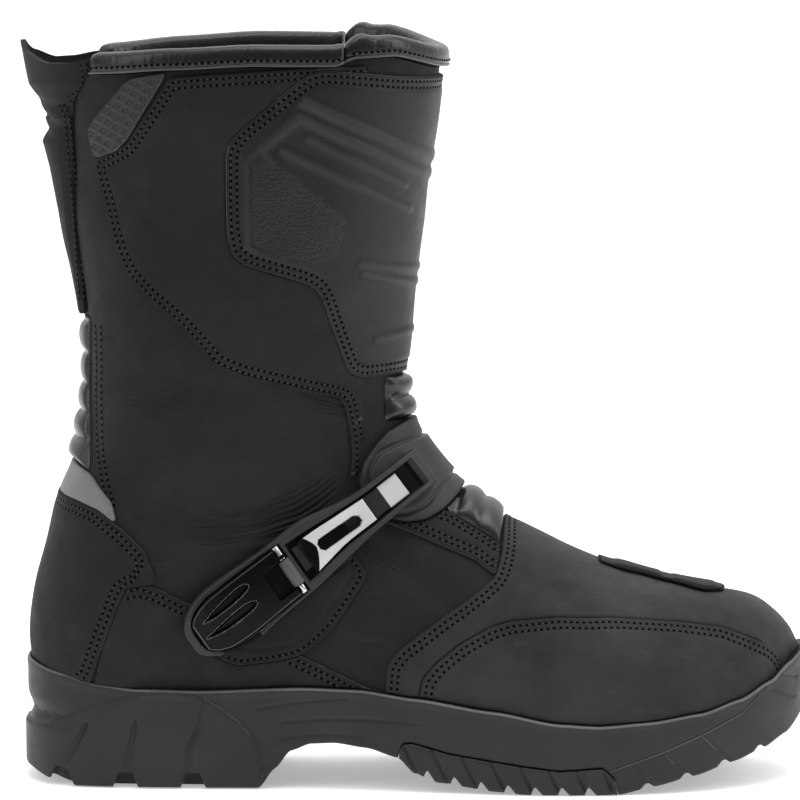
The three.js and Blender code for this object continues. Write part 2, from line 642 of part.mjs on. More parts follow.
ribbedPanel("instep_bellows", [
  [0.539, 0.368], [0.608, 0.322], [0.611, 0.338], [0.6135, 0.352], [0.617, 0.375], [0.6, 0.45], [0.55, 0.45],
], instepRibs.map(({ x, width, height }) => {
  const middle = sideSpot(x * soleLength, bootHeight * 0.34, -1).u;
  return rib(
    spread(Math.PI - 1.1, Math.PI + 1.1, 6).map((angle) => ({ angle, u: middle })),
    width * soleLength,
    height,
  );
}));

const guardOutline = [
  [0.507, 0.05], [0.507, 0.125], [0.51, 0.149], [0.526, 0.17], [0.557, 0.197], [0.595, 0.219], [0.62, 0.227],
  [0.682, 0.231], [0.757, 0.227], [0.833, 0.219], [0.884, 0.211], [0.916, 0.198], [0.943, 0.184],
  [0.956, 0.169], [0.963, 0.15], [0.97, 0.05],
];
layPanel("foot_guard_lateral", { rows: guardOutline, side: "lateral", thickness: plateThickness * 1.2 });
layPanel("foot_guard_medial", { rows: guardOutline, side: "medial", thickness: plateThickness * 1.2 });
const vampOutline = [
  [0.62, 0.45], [0.615, 0.357], [0.612, 0.344], [0.611, 0.322], [0.608, 0.304], [0.601, 0.282],
  [0.582, 0.265], [0.532, 0.229], [0.482, 0.189], [0.467, 0.169], [0.464, 0.128], [0.464, 0.05],
  [1.1, 0.05], [1.1, 0.45],
];
layPanel("vamp", { rows: vampOutline });
const stripOutline = [
  [0.457, 0.359], [0.532, 0.325], [0.576, 0.305], [0.602, 0.284], [0.608, 0.322], [0.539, 0.368], [0.5, 0.36],
];
layPanel("instep_strip_lateral", { rows: stripOutline, side: "lateral" });
layPanel("instep_strip_medial", { rows: stripOutline, side: "medial" });
const quarterOutline = [
  [0.141, 0.274], [0.151, 0.283], [0.182, 0.272], [0.213, 0.254], [0.26, 0.235], [0.357, 0.18], [0.42, 0.148],
  [0.463, 0.128], [0.463, 0.05], [0.08, 0.05], [0.113, 0.2], [0.132, 0.255],
];
layPanel("quarter_lateral", { rows: quarterOutline, side: "lateral" });
layPanel("quarter_medial", { rows: quarterOutline, side: "medial" });
const sideOutline = [
  [0.44, 0.976], [0.414, 0.975], [0.359, 0.974], [0.286, 0.968], [0.236, 0.964], [0.199, 0.96], [0.146, 0.87],
  [0.105, 0.846], [0.111, 0.82], [0.119, 0.787], [0.128, 0.747], [0.137, 0.717], [0.147, 0.694],
  [0.172, 0.665], [0.21, 0.63], [0.234, 0.601], [0.253, 0.577], [0.284, 0.563], [0.357, 0.541],
  [0.407, 0.526], [0.413, 0.514], [0.419, 0.479], [0.422, 0.446], [0.42, 0.416], [0.426, 0.42],
  [0.432, 0.465], [0.434, 0.553], [0.45, 0.7],
];
layPanel("side_panel_lateral", { rows: sideOutline, side: "lateral" });
layPanel("side_panel_medial", { rows: sideOutline, side: "medial" });

// Toe badge: a low moulded ridge on top of the vamp
const badgeOutline = outline([
  [0.735, 0.287], [0.807, 0.266], [0.864, 0.2525], [0.897, 0.25], [0.9, 0.27], [0.82, 0.31], [0.735, 0.33],
]);
const badgeThickness = 1.6;
const badgeFloor = gap + panelThickness + gap;
const badge = panelSolid(badgeOutline, "both", badgeFloor, badgeFloor + badgeThickness);
addNode("toe_badge", mainPiece(badge), glossPlastic);

// Collar: a padded roll along the rim, in one long piece and one at the front
const rollProfile = table(["out", "up"], [
  [-0.55, 0.0], [-0.58, 0.4], [-0.48, 0.85], [-0.15, 1.0], [0.15, 0.98], [0.36, 0.8], [0.42, 0.4], [0.38, 0.0],
]);
const belowCollar = underLine(shaftTop);
const collarSeat = 0.5;
function collarPiece(from, to, count) {
  const rings = spread(from, to, count).map((angle) => {
    const u = levelOf(angle, (x) => shaftTop(x) + collarHeight / 2);
    const p = surfacePoint(u, angle);
    const normal = surfaceNormal(u, angle).setZ(0).normalize();
    return rollProfile.map(({ out, up }) => new THREE.Vector3(
      p.x + normal.x * out * collarThickness,
      p.y + normal.y * out * collarThickness,
      shaftTop(p.x) - collarSeat + up * (collarHeight + collarSeat),
    ));
  });
  return ringSolid(rings).subtract(belowCollar);
}
const frontHalf = 1.12;
const rearHalf = 0.62;
addNode("collar_front", collarPiece(Math.PI - frontHalf, Math.PI + frontHalf, 11), softLeather);
addNode("collar_roll_lateral", collarPiece(rearHalf, Math.PI - frontHalf - 0.01, 11), softLeather);
addNode("collar_roll_medial", collarPiece(Math.PI + frontHalf + 0.01, 2 * Math.PI - rearHalf, 11), softLeather);

// Rear tab: a stiffened flap that stands off the back of the shaft and rises above the rim
const flapReach = 16;
const flapThickness = 2;
const flapRows = table(["z", "stand", "half"], [
  [0.634, 0.02, 0.2], [0.7, 0.05, 0.26], [0.77, 0.17, 0.28], [0.83, 0.34, 0.3], [0.868, 0.48, 0.31],
  [0.888, 0.28, 0.31], [0.925, 0.46, 0.38], [0.948, 0.7, 0.48], [0.985, 0.82, 0.56],
]);
const flapTop = table(["x", "z"], [[0.0, 1.006], [0.3, 0.99], [0.6, 0.977], [0.8, 0.978], [1.0, 0.988]]);
const flapColumns = 7;
function sheetSolid(outer, inner) {
  const rows = outer.length;
  const columns = outer[0].length;
  const border = [];
  for (let j = 0; j < columns; j += 1) border.push([0, j]);
  for (let i = 1; i < rows; i += 1) border.push([i, columns - 1]);
  for (let j = columns - 2; j >= 0; j -= 1) border.push([rows - 1, j]);
  for (let i = rows - 2; i > 0; i -= 1) border.push([i, 0]);
  const at = (layer, i, j) => layer * rows * columns + i * columns + j;
  const faces = [];
  for (let i = 0; i + 1 < rows; i += 1) {
    for (let j = 0; j + 1 < columns; j += 1) {
      faces.push(at(0, i, j), at(0, i, j + 1), at(0, i + 1, j + 1), at(0, i, j), at(0, i + 1, j + 1), at(0, i + 1, j));
      faces.push(at(1, i, j), at(1, i + 1, j + 1), at(1, i, j + 1), at(1, i, j), at(1, i + 1, j), at(1, i + 1, j + 1));
    }
  }
  border.forEach(([i, j], k) => {
    const [m, n] = border[(k + 1) % border.length];
    faces.push(at(0, i, j), at(1, i, j), at(1, m, n), at(0, i, j), at(1, m, n), at(0, m, n));
  });
  return solidFrom([...outer, ...inner].flat().flatMap((p) => [p.x, p.y, p.z]), faces);
}
function flapFace(extra) {
  return flapRows.map(({ z, stand, half }, i) => spread(-1, 1, flapColumns).map((side) => {
    const height = i === flapRows.length - 1 ? heightAt(flapTop, Math.abs(side)) : z;
    const angle = side * half;
    const u = levelOf(angle, () => height * bootHeight);
    const out = gap + extra + stand * flapReach * (1 - side * side);
    return offsetPoint(u, angle, out);
  }));
}
addNode("rear_tab", sheetSolid(flapFace(flapThickness), flapFace(0)).subtract(bootForm(gap)), nubuck);

// Buckle: a tray that runs from the quarter up to the ankle pad. Along it, s is a share of its length;
// up and low are the shares of its width on either side of its middle line.
const buckleLength = 106;
const buckleWidth = 26;
const buckleStart = new THREE.Vector2(0.224 * soleLength, 0.214 * bootHeight);
const buckleEnd = new THREE.Vector2(0.503 * soleLength, 0.42 * bootHeight);
const buckleHeading = buckleEnd.clone().sub(buckleStart).normalize();
const bedLow = gap + panelThickness + 2 * gap;
const bedHigh = gap + padThickness * padRise + 4 * gap;
const bed = (s) => bedLow + (bedHigh - bedLow) * THREE.MathUtils.smoothstep(s, 0.64, 0.78);
function bucklePoint(s) {
  const at = buckleStart.clone().addScaledVector(buckleHeading, s * buckleLength);
  const { u, angle } = sideSpot(at.x, at.y, -1);
  return { point: surfacePoint(u, angle), normal: surfaceNormal(u, angle) };
}
function buckleFrame(s) {
  const { point, normal } = bucklePoint(s);
  const along = bucklePoint(s + 0.03).point.sub(bucklePoint(s - 0.03).point).normalize();
  const across = along.clone().cross(normal).normalize();
  if (across.z < 0) across.negate();
  return { point, normal: normal.clone().addScaledVector(along, -normal.dot(along)).normalize(), across, along };
}
// A strip along the buckle, from one height over its bed to another, with eased upper edges
function strip(rows, from, to, ease = 0.6) {
  return ringSolid(rows.map(({ s, up, low }) => {
    const { point, normal, across } = buckleFrame(s);
    const place = (w, h) => point.clone().addScaledVector(across, w).addScaledVector(normal, bed(s) + h);
    const high = up * buckleWidth;
    const down = low * buckleWidth;
    return [
      place(down, from), place(high, from), place(high, to - ease),
      place(high - ease, to), place(down + ease, to), place(down, to - ease),
    ];
  }));
}
const stripRows = (rows) => table(["s", "up", "low"], rows);
const trayRows = stripRows([
  [-0.03, 0.05, -0.27], [-0.01, 0.22, -0.38], [0.03, 0.35, -0.5], [0.1, 0.45, -0.61], [0.18, 0.46, -0.635],
  [0.28, 0.45, -0.57], [0.38, 0.44, -0.54], [0.48, 0.47, -0.51], [0.55, 0.475, -0.46], [0.63, 0.4, -0.415],
  [0.74, 0.31, -0.335], [0.86, 0.31, -0.31], [0.985, 0.31, -0.305],
]);
const trayFloor = 1.3;
const trayHeight = 4.6;
const leverPocket = stripRows([
  [0.0, 0.1, -0.3], [0.04, 0.27, -0.44], [0.11, 0.365, -0.52], [0.2, 0.37, -0.52], [0.3, 0.37, -0.49],
  [0.434, 0.37, -0.465],
]);
const channel = stripRows([
  [0.45, 0.3, -0.38], [0.55, 0.28, -0.32], [0.64, 0.25, -0.27], [0.74, 0.225, -0.25], [0.86, 0.225, -0.225],
  [0.955, 0.225, -0.22],
]);
const padRoom = panelSolid(grown(outline(padOutline), gap), "lateral", 0, padThickness + 2 * gap)
  .add(panelSolid(grown(outline(padRaised), gap), "lateral", 0, padThickness * padRise + 2 * gap));
let tray = strip(trayRows, 0, trayHeight)
  .subtract(bootForm(bedLow - gap))
  .subtract(padRoom)
  .subtract(strip(leverPocket, trayFloor, trayHeight * 3, 0))
  .subtract(strip(channel, trayFloor, trayHeight * 3, 0));

const drawnIn = (rows, by) => rows.map(({ s, up, low }) => ({ s, up: up - by, low: low + by }));
const slack = gap / buckleWidth;
const leverRows = drawnIn(leverPocket, slack).map((row) => ({ ...row, s: THREE.MathUtils.clamp(row.s, 0.006, 0.43) }));
const leverFloor = trayFloor + gap;
const leverHeight = 7.4;
const leverWindow = stripRows([[0.325, 0.15, -0.335], [0.46, 0.15, -0.335]]);
const scoops = [
  stripRows([[0.03, 0.08, -0.03], [0.12, 0.11, -0.05], [0.23, 0.1, -0.03]]),
  stripRows([[0.04, -0.2, -0.32], [0.12, -0.18, -0.34], [0.23, -0.19, -0.31]]),
];
const scoopDepth = 1.3;
const pinPlace = 0.398;
const pinHeight = 4.4;
const pinRadius = 1.4;
const rollerRadius = 2.45;
const barSides = 12;
function crossBar(radius, high, low) {
  const { point, normal, across, along } = buckleFrame(pinPlace);
  const centre = point.clone().addScaledVector(normal, bed(pinPlace) + pinHeight);
  return [high, low].map((w) => Array.from({ length: barSides }, (_, i) => {
    const turn = (2 * Math.PI * i) / barSides;
    return centre.clone()
      .addScaledVector(across, w * buckleWidth)
      .addScaledVector(normal, Math.sin(turn) * radius)
      .addScaledVector(along, Math.cos(turn) * radius);
  }));
}
const pinHole = ringSolid(crossBar(pinRadius + gap, 0.42, -0.515));
tray = tray.subtract(pinHole);
let lever = strip(leverRows, leverFloor, leverHeight).subtract(strip(leverWindow, 0, leverHeight * 2, 0));
scoops.forEach((rows) => { lever = lever.subtract(strip(rows, leverHeight - scoopDepth, leverHeight * 2, 0)); });
lever = lever.subtract(pinHole);
const roller = ringSolid(crossBar(rollerRadius, 0.13, -0.315));
const pin = ringSolid(crossBar(pinRadius, 0.41, -0.505)).add(roller);
addNode("buckle_tray", mainPiece(tray), padRubber);
addNode("buckle_lever", mainPiece(lever), padRubber);
addNode("buckle_pin", pin, glossPlastic);

const strapRows = stripRows([
  [0.46, 0.19, -0.22], [0.55, 0.19, -0.21], [0.64, 0.19, -0.2], [0.74, 0.19, -0.2], [0.82, 0.19, -0.19], [0.9, 0.19, -0.19],
]);
const strapThickness = 1.5;
addNode("ladder_strap", strip(strapRows, leverFloor, leverFloor + strapThickness, 0.4), glossPlastic);
const latchRows = stripRows([[0.49, 0.22, -0.33], [0.56, 0.22, -0.28], [0.64, 0.2, -0.22], [0.725, 0.18, -0.2]]);
const latchFloor = leverFloor + strapThickness + gap;
const latchThickness = 2.4;
const latchEase = 0.8;
const latchSlotFloor = latchFloor + latchThickness * 0.42;
const latchSlot = stripRows([[0.54, 0.08, -0.1], [0.68, 0.04, -0.14]]);
addNode("strap_latch", strip(latchRows, latchFloor, latchFloor + latchThickness, latchEase)
  .subtract(strip(latchSlot, latchSlotFloor, latchFloor + latchThickness * 2, 0)), glossPlastic);

const box = new THREE.Box3().setFromObject(group);
group.position.set(-(box.min.x + box.max.x) / 2, -(box.min.y + box.max.y) / 2, -box.min.z);

export default group;
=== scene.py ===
import math

import bpy
import numpy as np
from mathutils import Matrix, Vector
from mathutils.geometry import delaunay_2d_cdt
from mathutils.kdtree import KDTree


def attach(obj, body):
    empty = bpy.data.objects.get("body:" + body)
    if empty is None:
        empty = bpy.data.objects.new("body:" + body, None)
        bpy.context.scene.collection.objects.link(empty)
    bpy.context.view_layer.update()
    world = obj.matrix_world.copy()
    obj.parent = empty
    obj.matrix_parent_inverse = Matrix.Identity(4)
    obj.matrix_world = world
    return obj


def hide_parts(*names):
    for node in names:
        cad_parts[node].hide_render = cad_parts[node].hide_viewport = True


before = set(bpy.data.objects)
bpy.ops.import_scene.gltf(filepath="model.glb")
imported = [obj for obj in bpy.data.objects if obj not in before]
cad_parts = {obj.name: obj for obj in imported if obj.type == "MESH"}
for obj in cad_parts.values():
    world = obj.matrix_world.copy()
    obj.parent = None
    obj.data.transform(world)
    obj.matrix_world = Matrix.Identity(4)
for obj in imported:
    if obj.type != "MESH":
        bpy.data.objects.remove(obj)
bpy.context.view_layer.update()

rng = np.random.default_rng(7)

# Sizes in millimetres, the same as the solids'. The design's origin is at the heel, the row's in the middle.
sole_length = 312.0
ball_width = 108.0
boot_height = 290.0
shaft_width = 102.0
sole_edge_height = 48.0
sole_rim_highlight = 4.2
wall = 2.2
gap = 0.3
panel_thickness = 1.4
plate_thickness = 1.6
pad_thickness = 3.4
pad_rise = 1.35
feather_drop = 7.0
collar_thickness = 8.0
collar_height = 8.5
row_origin = np.array([156.73, 0.0, 0.0])
# Least number of steps round a closed line, and halvings of a search along the sections
fewest_steps = 12
halvings = 36


def catmull(a, b, c, d, t):
    return 0.5 * (2 * b + (c - a) * t + (2 * a - 5 * b + 4 * c - d) * t * t + (3 * b - a - 3 * c + d) * t**3)


def smoothstep(x, low, high):
    t = np.clip((x - low) / (high - low), 0, 1)
    return t * t * (3 - 2 * t)


def left_of(directions):
    """Directions of a plane turned a quarter to the left."""
    return np.stack([-directions[..., 1], directions[..., 0]], axis=-1)


def run_along(points):
    """The distance run along a line up to each of its points."""
    return np.concatenate([[0], np.cumsum(np.linalg.norm(np.diff(points, axis=0), axis=1))])


def closed_steps(points, values, count=None, step=None):
    """Values along a closed line read at even steps, and the index of the point behind each step."""
    run = run_along(np.vstack([points, points[:1]]))
    count = count or max(fewest_steps, int(round(run[-1] / step)))
    target = np.arange(count) / count * run[-1]
    closed = np.vstack([values, values[:1]])
    read = np.stack([np.interp(target, run, column) for column in closed.T], axis=1)
    return read, np.clip(np.searchsorted(run, target, side="right") - 1, 0, len(points) - 1)


def closed_curve(rows, steps):
    """A smooth closed line through rows of points, with so many steps from one row to the next."""
    n = len(rows)
    t = np.arange(steps)[:, None] / steps
    return np.vstack([catmull(rows[i - 1], rows[i], rows[(i + 1) % n], rows[(i + 2) % n], t)
                      for i in range(n)])


def circles(centre, first, second, radius, count):
    """A ring of points round each centre, in the plane of two directions."""
    turn = np.arange(count)[None, :, None] * 2 * math.pi / count
    return centre[:, None] + radius * (first[:, None] * np.cos(turn) + second[:, None] * np.sin(turn))


def straight_up(directions):
    """The upward direction, once for each of the others."""
    return np.broadcast_to([0.0, 0.0, 1.0], directions.shape)


def rounded_off(depth, radius):
    """How far a rounded edge falls below the top, at a depth inside it."""
    k = np.clip(depth / radius, 0, 1)
    return radius * (1 - np.sqrt(np.maximum(1 - (1 - k) ** 2, 0)))


def height_at(rows, share):
    """A height read along x from rows of (x, z), eased between them."""
    rows = np.array(rows)
    share = np.clip(np.asarray(share, float), rows[0, 0], rows[-1, 0])
    i = np.clip(np.searchsorted(rows[:, 0], share, side="right") - 1, 0, len(rows) - 2)
    t = (share - rows[i, 0]) / (rows[i + 1, 0] - rows[i, 0])
    eased = 0.5 * t + 0.5 * t * t * (3 - 2 * t)
    return rows[i, 1] + (rows[i + 1, 1] - rows[i, 1]) * eased


# Sole profiles: x is a share of the sole's length, z of the height of its edge at the heel
sole_edge = [
    (0.0, 1.0), (0.055, 0.93), (0.1, 0.85), (0.15, 0.81), (0.23, 0.8), (0.36, 0.83), (0.43, 0.82),
    (0.5, 0.76), (0.6, 0.67), (0.68, 0.58), (0.73, 0.56), (0.79, 0.585), (0.86, 0.64), (0.91, 0.73),
    (0.95, 0.85), (0.975, 0.97), (1.0, 1.07),
]
sole_floor = [
    (0.0, 0.69), (0.2, 0.68), (0.32, 0.63), (0.42, 0.56), (0.51, 0.47), (0.6, 0.37), (0.68, 0.31),
    (0.77, 0.31), (0.86, 0.37), (0.93, 0.47), (1.0, 0.62),
]
sole_bottom = [
    (0.0, 0.16), (0.015, 0.1), (0.04, 0.045), (0.075, 0.0), (0.305, 0.0), (0.325, 0.16), (0.345, 0.31),
    (0.37, 0.37), (0.4, 0.38), (0.44, 0.345), (0.48, 0.27), (0.5, 0.15), (0.53, 0.08), (0.6, 0.02),
    (0.64, 0.0), (0.755, 0.0), (0.8, 0.06), (0.85, 0.13), (0.9, 0.22), (0.94, 0.3), (0.97, 0.39),
    (1.0, 0.56),
]
rim_line = [
    (0.06, 0.985), (0.12, 0.992), (0.2, 0.999), (0.3, 1.005), (0.4, 1.004), (0.425, 1.014), (0.47, 1.016),
    (0.54, 0.995),
]


def edge_z(x):
    return height_at(sole_edge, x / sole_length) * sole_edge_height


def floor_z(x):
    return height_at(sole_floor, x / sole_length) * sole_edge_height


def bottom_z(x):
    return height_at(sole_bottom, x / sole_length) * sole_edge_height


def shaft_top(x):
    return height_at(rim_line, x / sole_length) * boot_height - collar_height


# Sole outline from above: shares of the length and of the ball width, lateral side first
sole_outline = np.array([
    (0.009, 0.0), (0.018, -0.16), (0.053, -0.285), (0.12, -0.335), (0.22, -0.355), (0.33, -0.362),
    (0.44, -0.395), (0.55, -0.45), (0.65, -0.495), (0.74, -0.495), (0.83, -0.45), (0.905, -0.355),
    (0.96, -0.225), (0.992, -0.08), (1.0, 0.05), (0.99, 0.17), (0.955, 0.29), (0.9, 0.385), (0.82, 0.45),
    (0.73, 0.47), (0.63, 0.43), (0.53, 0.365), (0.43, 0.325), (0.33, 0.315), (0.22, 0.33), (0.12, 0.32),
    (0.053, 0.275), (0.018, 0.155),
]) * (sole_length, ball_width)


def outline_loop(count):
    """Evenly spaced points of the sole's outline, and their outward directions."""
    fine = closed_curve(sole_outline, 24)
    points, _ = closed_steps(fine, fine, count)
    along = np.roll(points, -1, axis=0) - np.roll(points, 1, axis=0)
    along /= np.linalg.norm(along, axis=1)[:, None]
    return points, -left_of(along)


loop_points, loop_out = outline_loop(160)
footprint = loop_points - loop_out * sole_rim_highlight


def footprint_half(x, side):
    """Half width of the upper's footprint at x, on one side."""
    a, b = footprint, np.roll(footprint, -1, axis=0)
    cross = ((a[:, 0] - x) * (b[:, 0] - x) <= 0) & (a[:, 0] != b[:, 0])
    y = a[cross, 1] + (b[cross, 1] - a[cross, 1]) * (x - a[cross, 0]) / (b[cross, 0] - a[cross, 0])
    return max([0.0, *(y * side)])


# Sections of the foot: front x, front z, back x, spread, ridge, widest, back power, front power
foot_rows = [
    (0.9905, 0.141, 0.9905, 0.0, 0.05, 0.42, 2.4, 2.4),
    (0.9855, 0.168, 0.9855, 0.4, 0.05, 0.42, 2.4, 2.4),
    (0.976, 0.19, 0.975, 0.72, 0.05, 0.4, 2.5, 2.4),
    (0.958, 0.2135, 0.956, 0.9, 0.048, 0.38, 2.7, 2.4),
    (0.93, 0.234, 0.927, 0.98, 0.045, 0.35, 3.0, 2.4),
    (0.885, 0.2455, 0.882, 1.0, 0.04, 0.33, 3.2, 2.35),
    (0.827, 0.257, 0.82, 1.0, 0.035, 0.31, 3.3, 2.25),
    (0.763, 0.276, 0.75, 1.0, 0.03, 0.29, 3.4, 2.15),
    (0.699, 0.3035, 0.673, 1.0, 0.025, 0.27, 3.4, 2.05),
    (0.641, 0.3345, 0.596, 1.0, 0.02, 0.26, 3.4, 1.98),
    (0.59, 0.367, 0.513, 1.0, 0.015, 0.25, 3.4, 1.92),
]
# Sections of ankle and shaft: front x, front z, back x, back z, lateral, medial, widest, back power and
# front power
leg_rows = [
    (0.548, 0.4, 0.423, 0.066, 0.385, 0.355, 0.25, 3.4, 1.9),
    (0.516, 0.438, 0.333, 0.076, 0.35, 0.325, 0.25, 3.3, 1.9),
    (0.495, 0.476, 0.243, 0.083, 0.345, 0.32, 0.26, 3.2, 1.9),
    (0.487, 0.51, 0.147, 0.083, 0.352, 0.33, 0.27, 3.1, 1.9),
    (0.4835, 0.541, 0.066, 0.083, 0.372, 0.352, 0.29, 2.7, 1.92),
    (0.486, 0.566, 0.0265, 0.11, 0.386, 0.368, 0.32, 2.45, 1.94),
    (0.489, 0.59, 0.0205, 0.159, 0.393, 0.378, 0.34, 2.35, 1.96),
    (0.4915, 0.614, 0.0185, 0.207, 0.4, 0.388, 0.37, 2.35, 1.98),
    (0.4935, 0.641, 0.025, 0.259, 0.41, 0.4, 0.39, 2.35, 2.0),
    (0.4955, 0.672, 0.0385, 0.317, 0.42, 0.412, 0.41, 2.35, 2.02),
    (0.4995, 0.71, 0.053, 0.38, 0.431, 0.426, 0.43, 2.35, 2.05),
    (0.5055, 0.755, 0.077, 0.448, 0.44, 0.438, 0.46, 2.3, 2.08),
    (0.5105, 0.803, 0.0875, 0.534, 0.455, 0.455, 0.47, 2.25, 2.1),
    (0.518, 0.855, 0.086, 0.631, 0.471, 0.471, 0.48, 2.2, 2.12),
    (0.5255, 0.907, 0.071, 0.745, 0.486, 0.486, 0.5, 2.15, 2.14),
    (0.5315, 0.955, 0.066, 0.862, 0.497, 0.497, 0.52, 2.1, 2.16),
    (0.535, 1.003, 0.057, 0.965, 0.505, 0.505, 0.54, 2.05, 2.18),
    (0.5385, 1.05, 0.052, 1.05, 0.51, 0.51, 0.55, 2.0, 2.2),
]
toe_opening = [0, 0.36, 0.62, 0.84, 0.96]


def build_sections():
    """Rows of front x, z, back x, z, lateral, medial, ridge, widest and the two powers, in millimetres."""
    rows = []
    tip = foot_rows[0][1] * boot_height
    for i, (fx, fz, bx, spread, ridge, widest, back, front) in enumerate(foot_rows):
        x = bx * sole_length
        opening = toe_opening[i] if i < len(toe_opening) else 1
        low = float(floor_z(x)) - feather_drop
        shift = ridge * ball_width
        rows.append((
            fx * sole_length, fz * boot_height, x, tip * (1 - opening) + low * opening,
            footprint_half(x, -1) * spread - shift * (1 - spread),
            footprint_half(x, 1) * spread + shift * (1 - spread), shift, widest, back, front,
        ))
    for fx, fz, bx, bz, lateral, medial, widest, back, front in leg_rows:
        rows.append((
            fx * sole_length, fz * boot_height, bx * sole_length, bz * boot_height,
            lateral * shaft_width, medial * shaft_width, 0, widest, back, front,
        ))
    return np.array(rows)


sections = build_sections()
last_section = len(sections) - 1


def row_at(u):
    """The section at a place between rows."""
    u = np.clip(np.asarray(u, float), 0, last_section)
    i = np.minimum(u.astype(int), last_section - 1)
    t = (u - i)[..., None]
    rows = [sections[np.clip(i + k, 0, last_section)] for k in (-1, 0, 1, 2)]
    return np.moveaxis(catmull(*rows, t), -1, 0)


def surface(u, a):
    """Points of the upper's outer face; angle 0 is the back or underside, lateral side first."""
    u, a = np.broadcast_arrays(np.asarray(u, float), np.asarray(a, float))
    fx, fz, bx, bz, lateral, medial, ridge, widest, back, front = row_at(u)
    along, across = -np.cos(a), np.sin(a)
    power = np.where(along < 0, back, front)
    radius = (np.abs(along) ** power + np.abs(across) ** power) ** (-1 / power)
    reach = along * radius
    share = widest + reach * np.where(along < 0, widest, 1 - widest)
    swell = np.abs(across) * radius
    y = ridge * (1 - swell) + swell * np.where(across > 0, -lateral, medial)
    return np.stack([bx + (fx - bx) * share, y, bz + (fz - bz) * share], axis=-1)


def tangents(u, a, step=0.03):
    """Steps of the surface from section to section, and round a section."""
    u = np.asarray(u, float)
    low, high = np.maximum(u - step, 0.05), np.minimum(u + step, last_section)
    du = (surface(high, a) - surface(low, a)) / (high - low)[..., None]
    v = np.maximum(u, 0.05)
    return du, (surface(v, np.asarray(a) + step) - surface(v, np.asarray(a) - step)) / (2 * step)


def unit(v):
    return v / np.maximum(np.linalg.norm(v, axis=-1, keepdims=True), 1e-12)


def normal(u, a):
    du, da = tangents(u, a)
    return unit(np.cross(da, du))


def offset(u, a, out):
    return surface(u, a) + normal(u, a) * np.asarray(out)[..., None]


def side_spot(x, z):
    """(u, angle) of the lateral point that a side view shows at x and z; silhouettes end at 0 or pi."""
    x, z = np.asarray(x, float), np.asarray(z, float)
    low, high = np.full(x.shape, 0.05), np.full(x.shape, float(last_section))
    for _ in range(halvings):
        mid = (low + high) / 2
        fx, fz, bx, bz = row_at(mid)[:4]
        ahead = (fx - bx) * (z - bz) - (fz - bz) * (x - bx) > 0
        low, high = np.where(ahead, mid, low), np.where(ahead, high, mid)
    fx, fz, bx, bz, _, _, _, widest, back, front = row_at(low)
    dx, dz = fx - bx, fz - bz
    share = np.clip(((x - bx) * dx + (z - bz) * dz) / (dx * dx + dz * dz), 0, 1)
    reach = np.where(share < widest, (share - widest) / widest, (share - widest) / (1 - widest))
    power = np.where(reach < 0, back, front)
    across = np.maximum(1 - np.abs(reach) ** power, 0) ** (1 / power)
    return low, np.arctan2(across, -reach)


def on_side(a, side):
    """An angle of the lateral half, mirrored for the medial side."""
    return a if side < 0 else 2 * math.pi - a


def level_of(a, line):
    """The section at which the surface reaches the height line(x) at an angle."""
    a = np.asarray(a, float)
    low, high = np.full(a.shape, len(foot_rows) - 1.0), np.full(a.shape, float(last_section))
    for _ in range(halvings):
        mid = (low + high) / 2
        p = surface(mid, a)
        under = p[..., 2] < line(p[..., 0])
        low, high = np.where(under, mid, low), np.where(under, high, mid)
    return low


def to_row(points):
    """Points in millimetres of the design, in metres of the row."""
    return (np.asarray(points, float) - row_origin) * 0.001


# Creases placed one by one: start x, z, end x, z, bow, width and depth in millimetres, on the lateral side
# view
creases = [
    (70.0, 104.0, 118.0, 112.0, -5.0, 1.0, 0.5), (66.0, 99.0, 128.0, 109.0, -6.0, 1.1, 0.55),
    (60.0, 93.5, 132.0, 105.5, -6.5, 1.0, 0.5), (68.0, 90.0, 126.0, 101.5, -6.0, 0.9, 0.4),
    (74.0, 109.0, 110.0, 116.0, -4.0, 1.0, 0.4), (78.0, 86.5, 120.0, 97.0, -5.5, 0.9, 0.3),
    (52.0, 118.0, 98.0, 126.0, -7.0, 4.0, 0.8), (60.0, 138.0, 118.0, 128.0, 6.0, 6.0, 0.9),
    (44.0, 160.0, 96.0, 148.0, 5.0, 7.0, 0.8), (58.0, 190.0, 108.0, 176.0, -4.0, 8.0, 0.7),
    (128.0, 118.0, 150.0, 84.0, 6.0, 5.0, 0.9), (150.0, 82.0, 176.0, 66.0, 4.0, 5.0, 0.7),
    (134.0, 96.0, 160.0, 74.0, 4.0, 3.0, 0.5), (196.0, 84.0, 226.0, 56.0, 6.0, 6.0, 0.7),
    (206.0, 88.0, 240.0, 64.0, 6.0, 5.0, 0.5), (32.0, 64.0, 62.0, 58.0, 4.0, 6.0, 0.6),
    (40.0, 232.0, 88.0, 250.0, 5.0, 9.0, 0.7), (96.0, 214.0, 122.0, 262.0, -5.0, 8.0, 0.6),
]

# Half length and half height of the box round a crease's middle in which it is felt
crease_box = (45.0, 35.0)
# Soft waves over the leather: height, and for two crossing sines the slopes over x, y and z and the start
leather_waves = [
    (0.22, (0.061, 0.0, 0.043, 1.3), (0.0, -0.03, 0.071, 0.0)),
    (0.14, (0.15, 0.0, -0.11, 0.0), (0.0, 0.07, 0.13, 0.8)),
]


def crease_paths():
    """Each crease as a curve, its width and its depth along the curve."""
    t = np.linspace(0, 1, 15)
    paths = []
    for x0, z0, x1, z1, bow, width, depth in creases:
        a, b = np.array([x0, z0]), np.array([x1, z1])
        side = left_of(b - a) / np.linalg.norm(b - a)
        curve = a + (b - a) * t[:, None] + side * (bow * 4 * t * (1 - t))[:, None]
        paths.append((curve, width, depth * np.sin(math.pi * np.clip(t, 0.04, 0.96)) ** 0.6))
    return paths


crease_curves = crease_paths()


